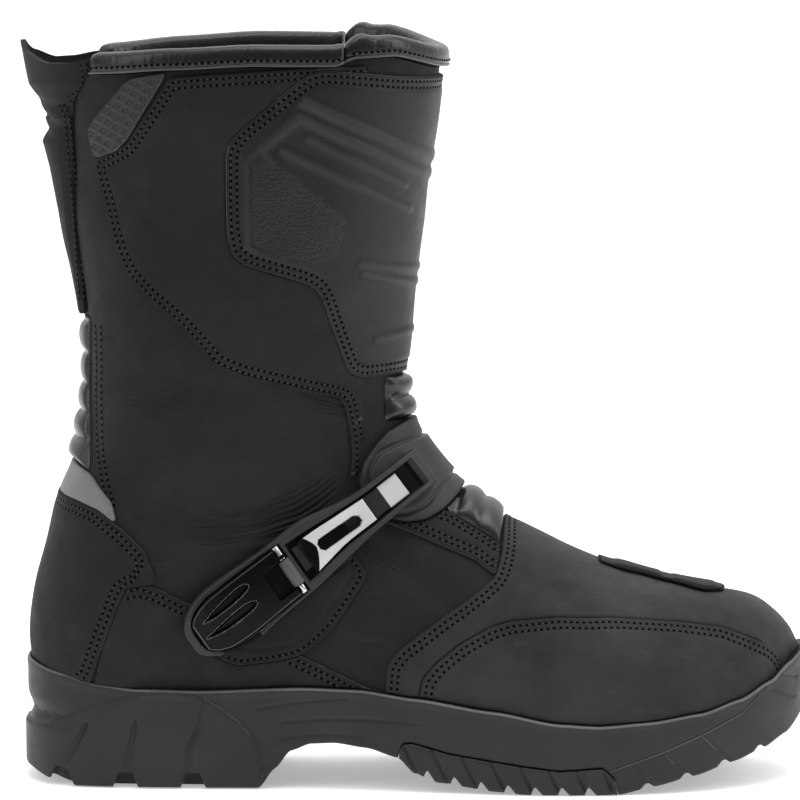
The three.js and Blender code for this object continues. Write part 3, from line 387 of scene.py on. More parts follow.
def relief(points):
    """How far the leather stands off its form, in millimetres: soft waves and the creases."""
    x, y, z = np.moveaxis(np.asarray(points), -1, 0)
    flat = np.stack([x.ravel(), z.ravel()], axis=1)
    out = np.zeros(x.shape)
    for tall, *sines in leather_waves:
        first, second = (np.sin(x * over_x + y * over_y + z * over_z + start)
                         for over_x, over_y, over_z, start in sines)
        out = out + tall * first * second
    fall = np.zeros(len(flat))
    for curve, width, depth in crease_curves:
        near = np.abs(flat - curve.mean(axis=0)) < np.array(crease_box) + 3 * width
        spots = np.nonzero(near.all(axis=1))[0]
        if not len(spots):
            continue
        a, b = curve[:-1], curve[1:]
        p = flat[spots][:, None]
        t = np.clip(((p - a) * (b - a)).sum(-1) / ((b - a) ** 2).sum(-1), 0, 1)
        d = np.linalg.norm(p - (a + (b - a) * t[..., None]), axis=-1)
        k = d.argmin(axis=1)
        row = np.arange(len(spots))
        deep = depth[k] + (depth[k + 1] - depth[k]) * t[row, k]
        s = d[row, k] / width
        fall[spots] += -deep * np.exp(-s * s) + 0.45 * deep * np.exp(-((s - 1.9) ** 2))
    return out + fall.reshape(x.shape)


class Piece:
    """Points in design millimetres and faces, gathered into one Blender mesh."""

    def __init__(self):
        self.points, self.raised, self.faces, self.slots, self.count = [], [], [], [], 0

    def add(self, points, faces, material=0, raised=None):
        points = np.asarray(points, float).reshape(-1, 3)
        faces = np.asarray(faces, int)
        self.points.append(points)
        self.raised.append(np.zeros(len(points)) if raised is None else raised)
        if len(faces):
            self.faces.append(faces + self.count)
            self.slots.append(np.full(len(faces), material))
        self.count += len(points)
        return self

    def grid(self, points, around=False, flip=False, material=0, keep=None):
        """A sheet of quads over rows and columns of points; around joins the last column to the first."""
        rows, columns = points.shape[:2]
        r, c = np.meshgrid(np.arange(rows - 1), np.arange(columns if around else columns - 1), indexing="ij")
        d = (c + 1) % columns
        quads = np.stack([r * columns + c, r * columns + d, (r + 1) * columns + d, (r + 1) * columns + c],
                         axis=-1)
        quads = quads.reshape(-1, 4)
        if keep is not None:
            quads = quads[keep.reshape(-1)[quads].any(axis=1)]
        return self.add(points, quads[:, ::-1] if flip else quads, material)

    def fan(self, ring, flip=False, material=0):
        """A cap over a ring of points."""
        n = len(ring)
        i = np.arange(n)
        faces = np.stack([i, (i + 1) % n, np.full(n, n)], axis=1)
        return self.add(np.vstack([ring, ring.mean(axis=0)]), faces[:, ::-1] if flip else faces, material)

    def finish(self, name, nodes, slot, materials):
        """The Blender object, with its materials, on the body and in the place of the solids named."""
        mesh = bpy.data.meshes.new(name)
        points = to_row(np.vstack(self.points))
        mesh.vertices.add(len(points))
        mesh.vertices.foreach_set("co", points.astype(np.float32).ravel())
        sizes = np.concatenate([np.full(len(f), f.shape[1]) for f in self.faces])
        mesh.loops.add(int(sizes.sum()))
        corners = np.concatenate([f.ravel() for f in self.faces]).astype(np.int32)
        mesh.loops.foreach_set("vertex_index", corners)
        mesh.polygons.add(len(sizes))
        starts = np.concatenate([[0], np.cumsum(sizes)[:-1]])
        mesh.polygons.foreach_set("loop_start", starts.astype(np.int32))
        mesh.polygons.foreach_set("loop_total", sizes.astype(np.int32))
        mesh.polygons.foreach_set("material_index", np.concatenate(self.slots).astype(np.int32))
        mesh.polygons.foreach_set("use_smooth", np.full(len(sizes), True))
        mesh.update(calc_edges=True)
        # how far each point is raised by an embossed pattern, for its material's painted highlight on ridges
        mark = mesh.attributes.new("raised", "FLOAT", "POINT")
        mark.data.foreach_set("value", np.concatenate(self.raised).astype(np.float32))
        for material in materials:
            mesh.materials.append(material)
        piece = bpy.data.objects.new(name, mesh)
        bpy.context.scene.collection.objects.link(piece)
        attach(piece, "root")
        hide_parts(*nodes)
        return piece


def rounded(points, radius):
    """A closed outline with its corners eased by short arcs, and for every point the row it belongs to."""
    n = len(points)
    out, rows = [], []
    for i in range(n):
        before, p, after = points[i - 1], points[i], points[(i + 1) % n]
        la, lb = np.linalg.norm(before - p), np.linalg.norm(after - p)
        r = min(radius, 0.4 * la, 0.4 * lb)
        a, b = p + (before - p) / la * r, p + (after - p) / lb * r
        for t in np.linspace(0, 1, 6):
            out.append((1 - t) ** 2 * a + 2 * t * (1 - t) * p + t * t * b)
            rows.append(i - 1 if t < 0.5 else i)
    return np.array(out), np.array(rows) % n


def grown(points, by):
    """The same closed outline drawn outwards."""
    before, after = np.roll(points, 1, axis=0), np.roll(points, -1, axis=0)
    area = (points[:, 0] * after[:, 1] - points[:, 1] * after[:, 0]).sum()
    sign = 1 if area > 0 else -1
    a, b = unit(points - before), unit(after - points)
    out_a = -left_of(a) * sign
    out = unit(out_a - left_of(b) * sign)
    return points + out * by / np.maximum(0.5, (out * out_a).sum(axis=1))[:, None]


def resampled(points, step):
    """A closed line at about even steps, and the index of the point behind each."""
    return closed_steps(points, points, step=step)


def to_surface(rows, wraps, step, clear, grow=0.0, radius=2.0):
    """A closed line of (u, angle) on the lateral half or round both halves, with the row behind each point.
    rows are shares of length and height, wraps is front, rear or empty, and clear is the least height over
    the sole's edge."""
    points = np.array(rows) * (sole_length, boot_height)
    if grow:
        points = grown(points, grow)
    line, marks = rounded(points, radius)
    line, behind = resampled(line, 0.5)
    marks = marks[behind]
    if clear is not None:
        line[:, 1] = np.maximum(line[:, 1], edge_z(line[:, 0]) + clear)
    u, a = side_spot(line[:, 0], line[:, 1])
    if wraps:
        # the stretch beyond the silhouette is left out, and the rest is mirrored onto the other half
        limit = wrap_angles[wraps]
        before_limit = np.abs(a - limit) > 1e-4
        start = int(np.nonzero(before_limit & ~np.roll(before_limit, 1))[0][0])
        order = (np.arange(len(a)) + start) % len(a)
        last = int(np.nonzero(~before_limit[order])[0][0])
        chain = np.concatenate([[order[0] - 1], order[:last], [order[last]]])
        u, a, marks = u[chain], a[chain], marks[chain]
        a[0] = a[-1] = limit
        mirror = 2 * limit - a
        u = np.concatenate([u, u[::-1][1:-1]])
        marks = np.concatenate([marks, marks[::-1][1:-1]])
        a = np.concatenate([a, mirror[::-1][1:-1]])
    # even steps measured on the surface
    ua, behind = closed_steps(surface(u, a), np.column_stack([u, a]), step=step)
    return ua, marks[behind]


# Rows and columns of a chart, and how far it turns to each side of its middle
chart_steps = 225
chart_turn = 1.12 * math.pi


class Chart:
    """A nearly even plane over the surface: p runs along u, q round the sections from a middle angle."""

    def __init__(self, middle):
        self.middle = middle
        self.us = np.linspace(0.05, last_section, chart_steps)
        self.turn = np.linspace(-chart_turn, chart_turn, chart_steps)
        grid = surface(self.us[:, None], middle + self.turn[None, :])
        steps = np.linalg.norm(np.diff(grid, axis=1), axis=-1)
        q = np.concatenate([np.zeros((len(self.us), 1)), np.cumsum(steps, axis=1)], axis=1)
        self.q = q - q[:, len(self.turn) // 2][:, None]
        mid = grid[:, len(self.turn) // 2]
        steps = np.maximum(np.linalg.norm(np.diff(mid, axis=0), axis=1), 0.05)
        self.p = np.concatenate([[0], np.cumsum(steps)])

    def rows_at(self, u):
        """The chart's q over the columns at each u."""
        i = np.clip(((u - self.us[0]) / (self.us[1] - self.us[0])), 0, len(self.us) - 1.001)
        k = i.astype(int)
        t = (i - k)[:, None]
        return self.q[k] * (1 - t) + self.q[k + 1] * t

    def plane(self, ua):
        """(p, q) of places given as (u, angle)."""
        u = np.clip(ua[:, 0], self.us[0], self.us[-1])
        turn = np.clip(ua[:, 1] - self.middle, self.turn[0], self.turn[-1])
        i = np.clip((turn - self.turn[0]) / (self.turn[1] - self.turn[0]), 0, len(self.turn) - 1.001)
        k = i.astype(int)
        q = self.rows_at(u)
        row = np.arange(len(u))
        across = q[row, k] + (q[row, k + 1] - q[row, k]) * (i - k)
        return np.stack([np.interp(u, self.us, self.p), across], axis=1)

    def back(self, pq):
        """(u, angle) of places given as (p, q)."""
        u = np.interp(pq[:, 0], self.p, self.us)
        q = self.rows_at(u)
        k = np.clip((q <= pq[:, 1][:, None]).sum(axis=1) - 1, 0, len(self.turn) - 2)
        row = np.arange(len(u))
        t = (pq[:, 1] - q[row, k]) / (q[row, k + 1] - q[row, k])
        return np.stack([u, self.middle + self.turn[0] + (k + t) * (self.turn[1] - self.turn[0])], axis=1)


def between(points, a, b):
    """Whether points of a plane lie inside the closed lines whose edges run from a to b."""
    rise = np.where(b[:, 1] == a[:, 1], 1e-12, b[:, 1] - a[:, 1])
    out = np.zeros(len(points), bool)
    for k in range(0, len(points), 4000):
        x, y = points[k:k + 4000, 0][:, None], points[k:k + 4000, 1][:, None]
        crosses = (a[:, 1] > y) != (b[:, 1] > y)
        crossing_x = (b[:, 0] - a[:, 0]) * (y - a[:, 1]) / rise + a[:, 0]
        out[k:k + 4000] = (crosses & (x < crossing_x)).sum(axis=1) % 2 == 1
    return out


def inside(points, loop):
    """Whether points of a plane lie inside a closed line."""
    return between(points, loop, np.roll(loop, -1, axis=0))


def closed_edges(start, count):
    return [(start + i, start + (i + 1) % count) for i in range(count)]


def triangulate(points, edges):
    """Triangles between points of a plane that keep the edges given."""
    verts, _, faces, *_ = delaunay_2d_cdt([Vector(p) for p in points.tolist()], edges, [], 0, 1e-7, False)
    tris = np.array([f for f in faces if len(f) == 3], int)
    return np.array([tuple(v) for v in verts]), tris


def border(tris):
    """Directed edges that belong to one triangle only."""
    edges = np.concatenate([tris[:, [0, 1]], tris[:, [1, 2]], tris[:, [2, 0]]])
    key = np.sort(edges, axis=1)
    _, first, times = np.unique(key, axis=0, return_index=True, return_counts=True)
    return edges[first[times == 1]]


def packed(faces):
    """The points that faces use, and the faces with those points counted anew."""
    ids, counted = np.unique(faces, return_inverse=True)
    return ids, counted.reshape(faces.shape)


def contours(points, tris, field, level):
    """Lines on a triangle mesh where a field crosses a level."""
    side = field[tris] > level
    crossing = tris[side.any(axis=1) & ~side.all(axis=1)]
    links, spots = {}, {}
    for tri in crossing.tolist():
        cut = []
        for i in range(3):
            a, b = sorted((tri[i], tri[(i + 1) % 3]))
            if (field[a] > level) != (field[b] > level):
                t = (level - field[a]) / (field[b] - field[a])
                spots[(a, b)] = points[a] + (points[b] - points[a]) * t
                cut.append((a, b))
        if len(cut) == 2:
            links.setdefault(cut[0], []).append(cut[1])
            links.setdefault(cut[1], []).append(cut[0])
    lines, seen = [], set()
    for start in sorted(links, key=lambda k: len(links[k])):
        if start in seen:
            continue
        line, at = [start], start
        seen.add(start)
        while True:
            ahead = [k for k in links[at] if k not in seen]
            if not ahead:
                break
            at = ahead[0]
            seen.add(at)
            line.append(at)
        if len(line) > 2:
            if start in links[at] and len(line) > 3:
                line.append(start)
            lines.append(np.array([spots[k] for k in line]))
    return lines


# Stitching: even pitch, thread and needle holes in millimetres, and how far a stitch strays sideways; the
# holes are dark discs of painted shade
stitch_pitch = 2.5
stitch_length = 1.35
stitch_stray = 0.05
thread_radius = 0.3
thread_lift = 0.04
hole_radius = 0.6
hole_lift = 0.15


def sew(piece, lines, thread, hole, lift=0.0):
    """Adds thread, and dark discs of painted shade for the needle holes, along lines of position and normal.
    """
    places = np.array([-1.0, -0.8, 0.0, 0.8, 1.0])[None, :, None, None]
    swell = np.array([0.0, 0.75, 1.0, 0.75, 0.0])[None, :, None, None]
    turn = np.arange(6)[None, None, :, None] * math.pi / 3
    for line in lines:
        run = run_along(line[:, :3])
        count = int(run[-1] / stitch_pitch)
        if count < 1:
            continue

        def at(s):
            return np.stack([np.interp(s, run, column) for column in line.T], axis=1)

        middle = (np.arange(count) + 0.5) * run[-1] / count
        centre, head, tail = at(middle), at(middle + stitch_length / 2), at(middle - stitch_length / 2)
        out = unit(centre[:, 3:])
        half = (head[:, :3] - tail[:, :3]) / 2
        across = unit(np.cross(out, half))
        spot = centre[:, :3] + out * (lift + thread_lift)
        spot = spot + across * rng.normal(0, stitch_stray, count)[:, None]
        threads = spot[:, None, None] + half[:, None, None] * places + thread_radius * swell * (
            across[:, None, None] * np.cos(turn) + out[:, None, None] * np.sin(turn))
        for one in threads:
            piece.grid(one, around=True, material=thread)
        ends = at(np.arange(count + 1) * run[-1] / count)
        up = unit(ends[:, 3:])
        side = unit(np.cross(up, np.gradient(ends[:, :3], axis=0)))
        for disc in circles(ends[:, :3] + up * (lift + hole_lift), side, np.cross(side, up), hole_radius, 8):
            piece.fan(disc, material=hole)


placed_panels = []
charts = {}
# Angle of the silhouette that a panel wraps round
wrap_angles = {"front": math.pi, "rear": 0.0}
# Steps along a panel's line, shortest border edge that starts rings of points, and those rings' depths: near
# the edge, round each seam and past the last seam
panel_step = 1.2
short_edge = 0.4
edge_rings = (0.3, 0.8)
seam_rings = (-0.7, 0.0, 0.7)
last_ring = 1.6
# Length over which the chart's scale is measured
probe = 0.4
# Depth of the channel that the stitching lies in, and of each row's own groove
channel_depth = 0.14
row_depth = 0.2


def panels_before(chart, own, side, limit):
    """Outlines of the panels laid before this one that may cut it, grown by the gap."""
    outs = []
    for other_rows, other_side, other_wraps in placed_panels:
        if "both" not in (side, other_side) and side != other_side:
            continue
        other, _ = to_surface(other_rows, other_wraps, panel_step, None, grow=gap)
        if other_side == "medial" and side == "both":
            other[:, 1] = 2 * limit - other[:, 1]
        flat = chart.plane(other)
        if (flat.max(axis=0) > own.min(axis=0)).all() and (flat.min(axis=0) < own.max(axis=0)).all():
            outs.append(flat)
    return outs


def cut_border(own, outs):
    """Corners and edges of what the outlines of earlier panels leave of a panel's own."""
    edges, start = [], 0
    for loop in [own, *outs]:
        edges += closed_edges(start, len(loop))
        start += len(loop)
    verts, tris = triangulate(np.vstack([own, *outs]), edges)
    centre = verts[tris].mean(axis=1)
    kept = inside(centre, own)
    for flat in outs:
        kept &= ~inside(centre, flat)
    ids, edges = packed(border(main_part(tris[kept])))
    return verts[ids], edges


def finely(start, end):
    """Points close together along the straight lines from start to end."""
    t = np.linspace(0, 1, 6)[:-1][None, :, None]
    return (start[:, None] * (1 - t) + end[:, None] * t).reshape(-1, 3)


def panel_points(chart, corners, edges, edge_tree, depths, spacing):
    """A panel's corners, rings of points inside its border, so that the edge and the seams' grooves come out
    clean, and a lattice between them."""
    start, end = corners[edges.T]
    start3, end3, halfway3 = (surface(*chart.back(at).T) for at in (start, end, (start + end) / 2))
    inward = unit(left_of(end - start))
    halfway = (start + end) / 2
    long_enough = np.linalg.norm(end3 - start3, axis=1) > short_edge
    scale = np.linalg.norm(surface(*chart.back(halfway + inward * probe).T) - halfway3, axis=1) / probe
    rings = []
    for depth in depths:
        at = (halfway + inward * (depth / np.maximum(scale, 0.3))[:, None])[long_enough]
        rings.append(at[distances(edge_tree, surface(*chart.back(at).T)) > 0.9 * depth])
    low, high = corners.min(axis=0), corners.max(axis=0)
    grid_p, grid_q = np.meshgrid(np.arange(low[0], high[0], spacing), np.arange(low[1], high[1], spacing))
    stagger = (np.arange(grid_p.shape[1]) % 2)[None, :] * spacing / 2
    lattice = np.stack([grid_p.ravel(), (grid_q + stagger).ravel()], axis=1)
    lattice = lattice[between(lattice, start, end)]
    far = depths[-1] + 0.5 * spacing
    lattice = lattice[distances(edge_tree, surface(*chart.back(lattice).T)) > far]
    return np.vstack([corners, *rings, lattice])


def sewn_down(up, seam, seams):
    """Heights with the stitching's shallow channel, in which each row is pulled down a little further."""
    if seams:
        end = seams[-1]
        up = up - channel_depth * smoothstep(seam, 0.7, 1.3) * (1 - smoothstep(seam, end + 0.9, end + 1.6))
    for s in seams:
        up = up - row_depth * np.exp(-(((seam - s) / 0.55) ** 2))
    return up


def lay_panel(name, rows, side="both", wraps="", thickness=panel_thickness, material=None, slot="nubuck",
              plain=(), seams=(2.1, 4.5), round_edge=0.6, spacing=1.7, shape=None, height=None, under=0.0,
              keeps_out=True, edge_cut=None, marked=None, marked_look=None):
    """A panel on the surface inside its side view, cut round the panels laid before it.
    plain lists the rows after which its line isn't sewn, and seams the distances of the stitching from it.
    height replaces the even thickness and shape adds to it, both from the points and their distance from the
    edge; marked picks the faces with the second look. A panel with keeps_out off lies over the others."""
    limit = wrap_angles.get(wraps)
    ring, marks = to_surface(rows, wraps, panel_step, gap)
    middle = limit if wraps else round(float(ring[:, 1].mean()), 1)
    if middle not in charts:
        charts[middle] = Chart(middle)
    chart = charts[middle]
    own = chart.plane(ring)
    outs = []
    if keeps_out:
        outs = panels_before(chart, own, side, limit)
        placed_panels.append((rows, side, wraps))
    corners, edges = cut_border(own, outs)
    # fine samples of the border, and of the sewn stretches of the panel's own line
    edge_tree = tree_of(finely(*surface(*chart.back(corners).T)[edges.T]))
    own3 = surface(*ring.T)
    sewn = ~np.isin(marks, list(plain))
    seam_tree = tree_of(finely(own3[sewn], np.roll(own3, -1, axis=0)[sewn]))
    depths = [*edge_rings, *(s + by for s in seams for by in seam_rings)]
    depths += [s + last_ring for s in seams[-1:]]
    points = panel_points(chart, corners, edges, edge_tree, depths, spacing)
    verts, tris = triangulate(points, edges.tolist())
    used, tris = packed(tris[between(verts[tris].mean(axis=1), *corners[edges.T])])
    ua = chart.back(verts[used])
    flat3 = surface(*ua.T)
    edge, seam = distances(edge_tree, flat3), distances(seam_tree, flat3)
    if side == "medial":
        ua[:, 1] = -ua[:, 1]
    else:
        tris = tris[:, ::-1]
    base, out = surface(*ua.T), normal(*ua.T)
    full = np.full(len(base), thickness) if height is None else height(base, ua, edge)
    up = sewn_down(full - rounded_off(edge, round_edge), seam, seams)
    raised = np.zeros(len(base))
    if shape is not None:
        formed = shape(base, edge)
        up = up + formed
        raised = np.clip(formed / max(formed.max(), 0.1), 0, 1)
    waves = relief(base)
    top = base + out * (under + gap + up + waves)[:, None]
    piece = Piece()
    # the narrow faces along the edge show the cut leather, and marked ones the second look
    nearest, furthest = edge[tris].min(axis=1), edge[tris].max(axis=1)
    on_rim = (nearest < 0.1) & (furthest > 0.15) & (furthest < 0.6)
    paint = np.where(on_rim, 3, 0 if marked is None else 4 * marked(base[tris].mean(axis=1)))
    for index in np.unique(paint):
        piece.add(top, tris[paint == index], material=index, raised=raised)
    # skirt down to the leather below
    ids, rim = packed(border(tris))
    n = len(ids)
    low = base[ids] + out[ids] * (under + 0.4 * gap + waves[ids])[:, None]
    skirt = np.stack([rim[:, 1], rim[:, 0], rim[:, 0] + n, rim[:, 1] + n], axis=1)
    piece.add(np.vstack([top[ids], low]), skirt, material=3)
    facing = np.concatenate([top, out], axis=1)
    lines = [line for s in seams for line in contours(facing, tris, seam, s) if len(line) > 3]
    sew(piece, lines, 1, 2)
    edge_cut = edge_cut or (nubuck_edge if slot == "nubuck" else material)
    looks = (material, thread_look, hole_shade_look, edge_cut, marked_look or material)
    piece.finish(name + ".skin", (name,), slot, looks)


def lay_pair(name, rows, **options):
    """The same panel on the lateral and then on the medial side."""
    for side in ("lateral", "medial"):
        lay_panel(name + "_" + side, rows, side=side, **options)


def main_part(tris):
    """The largest connected part of a set of triangles."""
    parent = {}

    def root(k):
        while parent.setdefault(k, k) != k:
            parent[k] = parent[parent[k]]
            k = parent[k]
        return k

    for x, y, z in tris.tolist():
        parent[root(x)] = root(y)
        parent[root(y)] = root(z)
    roots = np.array([root(x) for x in tris[:, 0].tolist()])
    values, counts = np.unique(roots, return_counts=True)
    return tris[roots == values[counts.argmax()]]


def tree_of(points):
    """A search tree of the points."""
    tree = KDTree(len(points))
    for i, p in enumerate(points.tolist()):
        tree.insert(p, i)
    tree.balance()
    return tree


def flat_points(plane):
    """Points of a plane as points in space, for a search tree."""
    return np.column_stack([plane, np.zeros(len(plane))])


def distances(tree, points):
    """Distance from each point to the nearest one of the tree."""
    return np.array([tree.find(p)[2] for p in points.tolist()]) if len(points) else np.zeros(0)


# Bundles of fine folds at the ankle: middle x and z, tilt in degrees, half length, half spread and pitch, in
# millimetres
fold_bundles = [
    (72.0, 103.0, -3.0, 30.0, 9.0, 2.1), (108.0, 109.0, 24.0, 22.0, 8.0, 2.1),
    (140.0, 92.0, -42.0, 16.0, 5.0, 2.2), (60.0, 152.0, 12.0, 18.0, 8.0, 2.6),
    (122.0, 150.0, -20.0, 14.0, 6.0, 2.6),
]
# How far clouds bend the folds, in radians, how strongly they bow over their length, and their depth in
# metres
fold_bend = 14.0
fold_bow = 6.0
fold_depth = 0.0006


class Shader:
    """The nodes of a material or of the world, and the place that their patterns are read at."""

    def __init__(self, tree, place):
        self.nodes, self.links = tree.nodes, tree.links
        self.place = self.nodes.new("ShaderNodeTexCoord").outputs[place]

    def feed(self, socket, value):
        """Links another node's output to a socket, or sets the socket's own value."""
        if isinstance(value, bpy.types.NodeSocket):
            self.links.new(value, socket)
        else:
            socket.default_value = value

    def node(self, kind, output, inputs):
        """One output of a new node with the inputs given."""
        node = self.nodes.new("ShaderNode" + kind)
        for name, value in inputs.items():
            self.feed(node.inputs[name], value)
        return node.outputs[output]

    def noise(self, scale, detail, roughness, stretch=None):
        """Clouds of a scale, drawn out along one direction where a stretch is given."""
        place = self.place
        if stretch:
            place = self.node("Mapping", "Vector",
                              {"Scale": stretch, "Rotation": (0.3, 0.5, 0.2), "Vector": place})
        return self.node("TexNoise", "Fac",
                         {"Scale": scale, "Detail": detail, "Roughness": roughness, "Vector": place})

    def remap(self, value, low, high, to_low, to_high):
        """The value, with the range from low to high laid over another."""
        return self.node("MapRange", "Result", {"From Min": low, "From Max": high, "To Min": to_low,
                                                "To Max": to_high, "Value": value})

    def bump(self, height, strength, distance, before=None):
        """Directions of the surface under a height in metres, on top of an earlier bump."""
        inputs = {"Strength": strength, "Distance": distance, "Height": height}
        if before is not None:
            inputs["Normal"] = before
        return self.node("Bump", "Normal", inputs)

    def blend(self, factor, first, second):
        """A colour between two, each a triple or another node's output."""
        node = self.nodes.new("ShaderNodeMix")
        node.data_type = "RGBA"
        self.feed(node.inputs["Factor"], factor)
        for socket, colour in ((node.inputs[6], first), (node.inputs[7], second)):
            self.feed(socket, (*colour, 1) if isinstance(colour, tuple) else colour)
        return node.outputs[2]

    def sums(self, operation, *values):
        """One step of arithmetic on numbers and other nodes' outputs."""
        node = self.nodes.new("ShaderNodeMath")
        node.operation = operation
        for socket, value in zip(node.inputs, values):
            self.feed(socket, value)
        return node.outputs["Value"]

    def split(self):
        """The place's x, y and z."""
        node = self.nodes.new("ShaderNodeSeparateXYZ")
        self.links.new(self.place, node.inputs["Vector"])
        return [node.outputs[axis] for axis in "XYZ"]

    def folded(self, facing):
        """Fine folds running side by side, fading out round each bundle's middle."""
        sums = self.sums
        bend = sums("MULTIPLY", self.noise(38, 2, 0.5), fold_bend)
        x_place, _, z_place = self.split()
        for x, z, tilt, length, spread, pitch in fold_bundles:
            c, s = math.cos(math.radians(tilt)), math.sin(math.radians(tilt))
            middle = to_row([x, 0.0, z])
            dx = sums("SUBTRACT", x_place, float(middle[0]))
            dz = sums("SUBTRACT", z_place, float(middle[2]))
            along = sums("ADD", sums("MULTIPLY", dx, c), sums("MULTIPLY", dz, s))
            across = sums("SUBTRACT", sums("MULTIPLY", dz, c), sums("MULTIPLY", dx, s))
            bowed = sums("SUBTRACT", across, sums("MULTIPLY", sums("MULTIPLY", along, along), fold_bow))
            phase = sums("ADD", sums("MULTIPLY", bowed, 2000 * math.pi / pitch), bend)
            far = sums("ADD", *(sums("POWER", sums("ABSOLUTE", sums("DIVIDE", value, reach / 1000)), 2.0)
                                for value, reach in ((along, length), (bowed, spread))))
            fade = sums("MAXIMUM", sums("SUBTRACT", 1.0, far), 0.0)
            facing = self.bump(sums("MULTIPLY", sums("SINE", phase), fade), 1.0, fold_depth, facing)
        return facing


def new_look(name):
    """A new material, its shader's nodes and its main shader's inputs."""
    look = bpy.data.materials.new(name)
    look.use_nodes = True
    return look, Shader(look.node_tree, "Object"), look.node_tree.nodes["Principled BSDF"].inputs


def leather_look(name, dark, light, rough, grain=1400, grain_depth=0.00012, grain_strength=0.5, pores=0,
                 pore_depth=0.0, coat=0.0, coat_rough=0.3, sheen=0.0, scuff=None, specular=0.5, wrinkle=0.0,
                 folds=False, ridge=None):
    """A surface with mottled colour, uneven gloss, a grain and, where asked, pores, nap, pale scuffs and a
    painted highlight on raised ridges.
    """
    look, shader, inputs = new_look(name)
    colour = shader.blend(shader.remap(shader.noise(22, 4, 0.6), 0.35, 0.68, 0, 1), dark, light)
    if scuff:
        rub = shader.noise(60, 5, 0.7, (1.0, 1.0, 3.0))
        colour = shader.blend(shader.remap(rub, 0.6, 0.8, 0, 0.55), colour, scuff)
    # painted highlight: where asked, points raised by an embossed pattern take a lighter ridge colour
    if ridge:
        mark = shader.nodes.new("ShaderNodeAttribute")
        mark.attribute_name = "raised"
        colour = shader.blend(shader.remap(mark.outputs["Fac"], 0.35, 0.9, 0, 1), colour, ridge)
    shader.feed(inputs["Base Color"], colour)
    shader.feed(inputs["Roughness"], shader.remap(shader.noise(130, 4, 0.6), 0.3, 0.7, *rough))
    facing = shader.bump(shader.noise(grain, 3, 0.6), grain_strength, grain_depth)
    if wrinkle:
        facing = shader.bump(shader.noise(190, 4, 0.65), 0.5, wrinkle, facing)
    if pores:
        cell = shader.node("TexVoronoi", "Distance", {"Scale": pores, "Vector": shader.place})
        facing = shader.bump(cell, 0.7, pore_depth, facing)
    if folds:
        facing = shader.folded(facing)
    shader.feed(inputs["Normal"], facing)
    inputs["Specular IOR Level"].default_value = specular
    if coat:
        inputs["Coat Weight"].default_value = coat
        inputs["Coat Roughness"].default_value = coat_rough
    if sheen:
        inputs["Sheen Weight"].default_value = sheen
        inputs["Sheen Roughness"].default_value = 0.45
        inputs["Sheen Tint"].default_value = (0.55, 0.55, 0.57, 1)
    return look


nubuck = {"dark": (0.0085, 0.0085, 0.0088), "light": (0.0145, 0.0145, 0.0147), "rough": (0.62, 0.78),
          "grain": 1500, "sheen": 0.04, "scuff": (0.034, 0.033, 0.031), "wrinkle": 0.0003, "specular": 0.2}
nubuck_look = leather_look("nubuck", **nubuck)
upper_look = leather_look("nubuck_folded", folds=True, **nubuck)
vamp_look = leather_look("nubuck_rubbed", (0.0135, 0.013, 0.0125), (0.031, 0.03, 0.0286), (0.62, 0.8),
                         grain=1500, sheen=0.14, scuff=(0.06, 0.058, 0.054), wrinkle=0.00025,
                         specular=0.25)
# The shin plate's ridge colour is a painted highlight on its pressed ridges, in plain and netted parts alike
plate_look = leather_look("plate_leather", (0.0065, 0.0063, 0.0063), (0.0105, 0.0102, 0.0102), (0.4, 0.52),
                          pores=1300, pore_depth=0.00012, grain_strength=0.3, specular=0.3,
                          ridge=(0.026, 0.0245, 0.0243))
net_look = leather_look("plate_net", (0.01, 0.0098, 0.0098), (0.018, 0.0176, 0.0176), (0.4, 0.5),
                        pores=1000, pore_depth=0.00045, grain_strength=0.3, specular=0.3,
                        ridge=(0.026, 0.0245, 0.0243))
edge_look = leather_look("cut_edge", (0.1, 0.066, 0.05), (0.15, 0.105, 0.085), (0.7, 0.85), specular=0.2)
pale_edge = leather_look("pale_edge", (0.1, 0.1, 0.1), (0.14, 0.14, 0.14), (0.35, 0.5), specular=0.4)
nubuck_edge = leather_look("nubuck_edge", (0.026, 0.025, 0.024), (0.045, 0.043, 0.041), (0.6, 0.75),
                           specular=0.25)
soft_look = leather_look("soft_leather", (0.002, 0.002, 0.0022), (0.004, 0.004, 0.0043), (0.28, 0.4),
                         pores=900, pore_depth=0.0002, coat=0.45, coat_rough=0.22, grain_strength=0.25,
                         specular=0.25, wrinkle=0.00012)
piping_look = leather_look("piping", (0.02, 0.02, 0.02), (0.045, 0.045, 0.045), (0.25, 0.4), grain=600,
                           grain_depth=0.0002, coat=0.3, specular=0.5)
rib_look = leather_look("rib_leather", (0.005, 0.005, 0.0055), (0.008, 0.008, 0.0085), (0.24, 0.36),
                        pores=1100, pore_depth=0.00008, coat=0.2, grain_strength=0.2, specular=0.45)
rubber_look = leather_look("sole_rubber", (0.014, 0.0143, 0.015), (0.02, 0.0204, 0.0212), (0.4, 0.55),
                           grain=900, grain_depth=0.00006, grain_strength=0.35,
                           scuff=(0.036, 0.036, 0.037), specular=0.3)
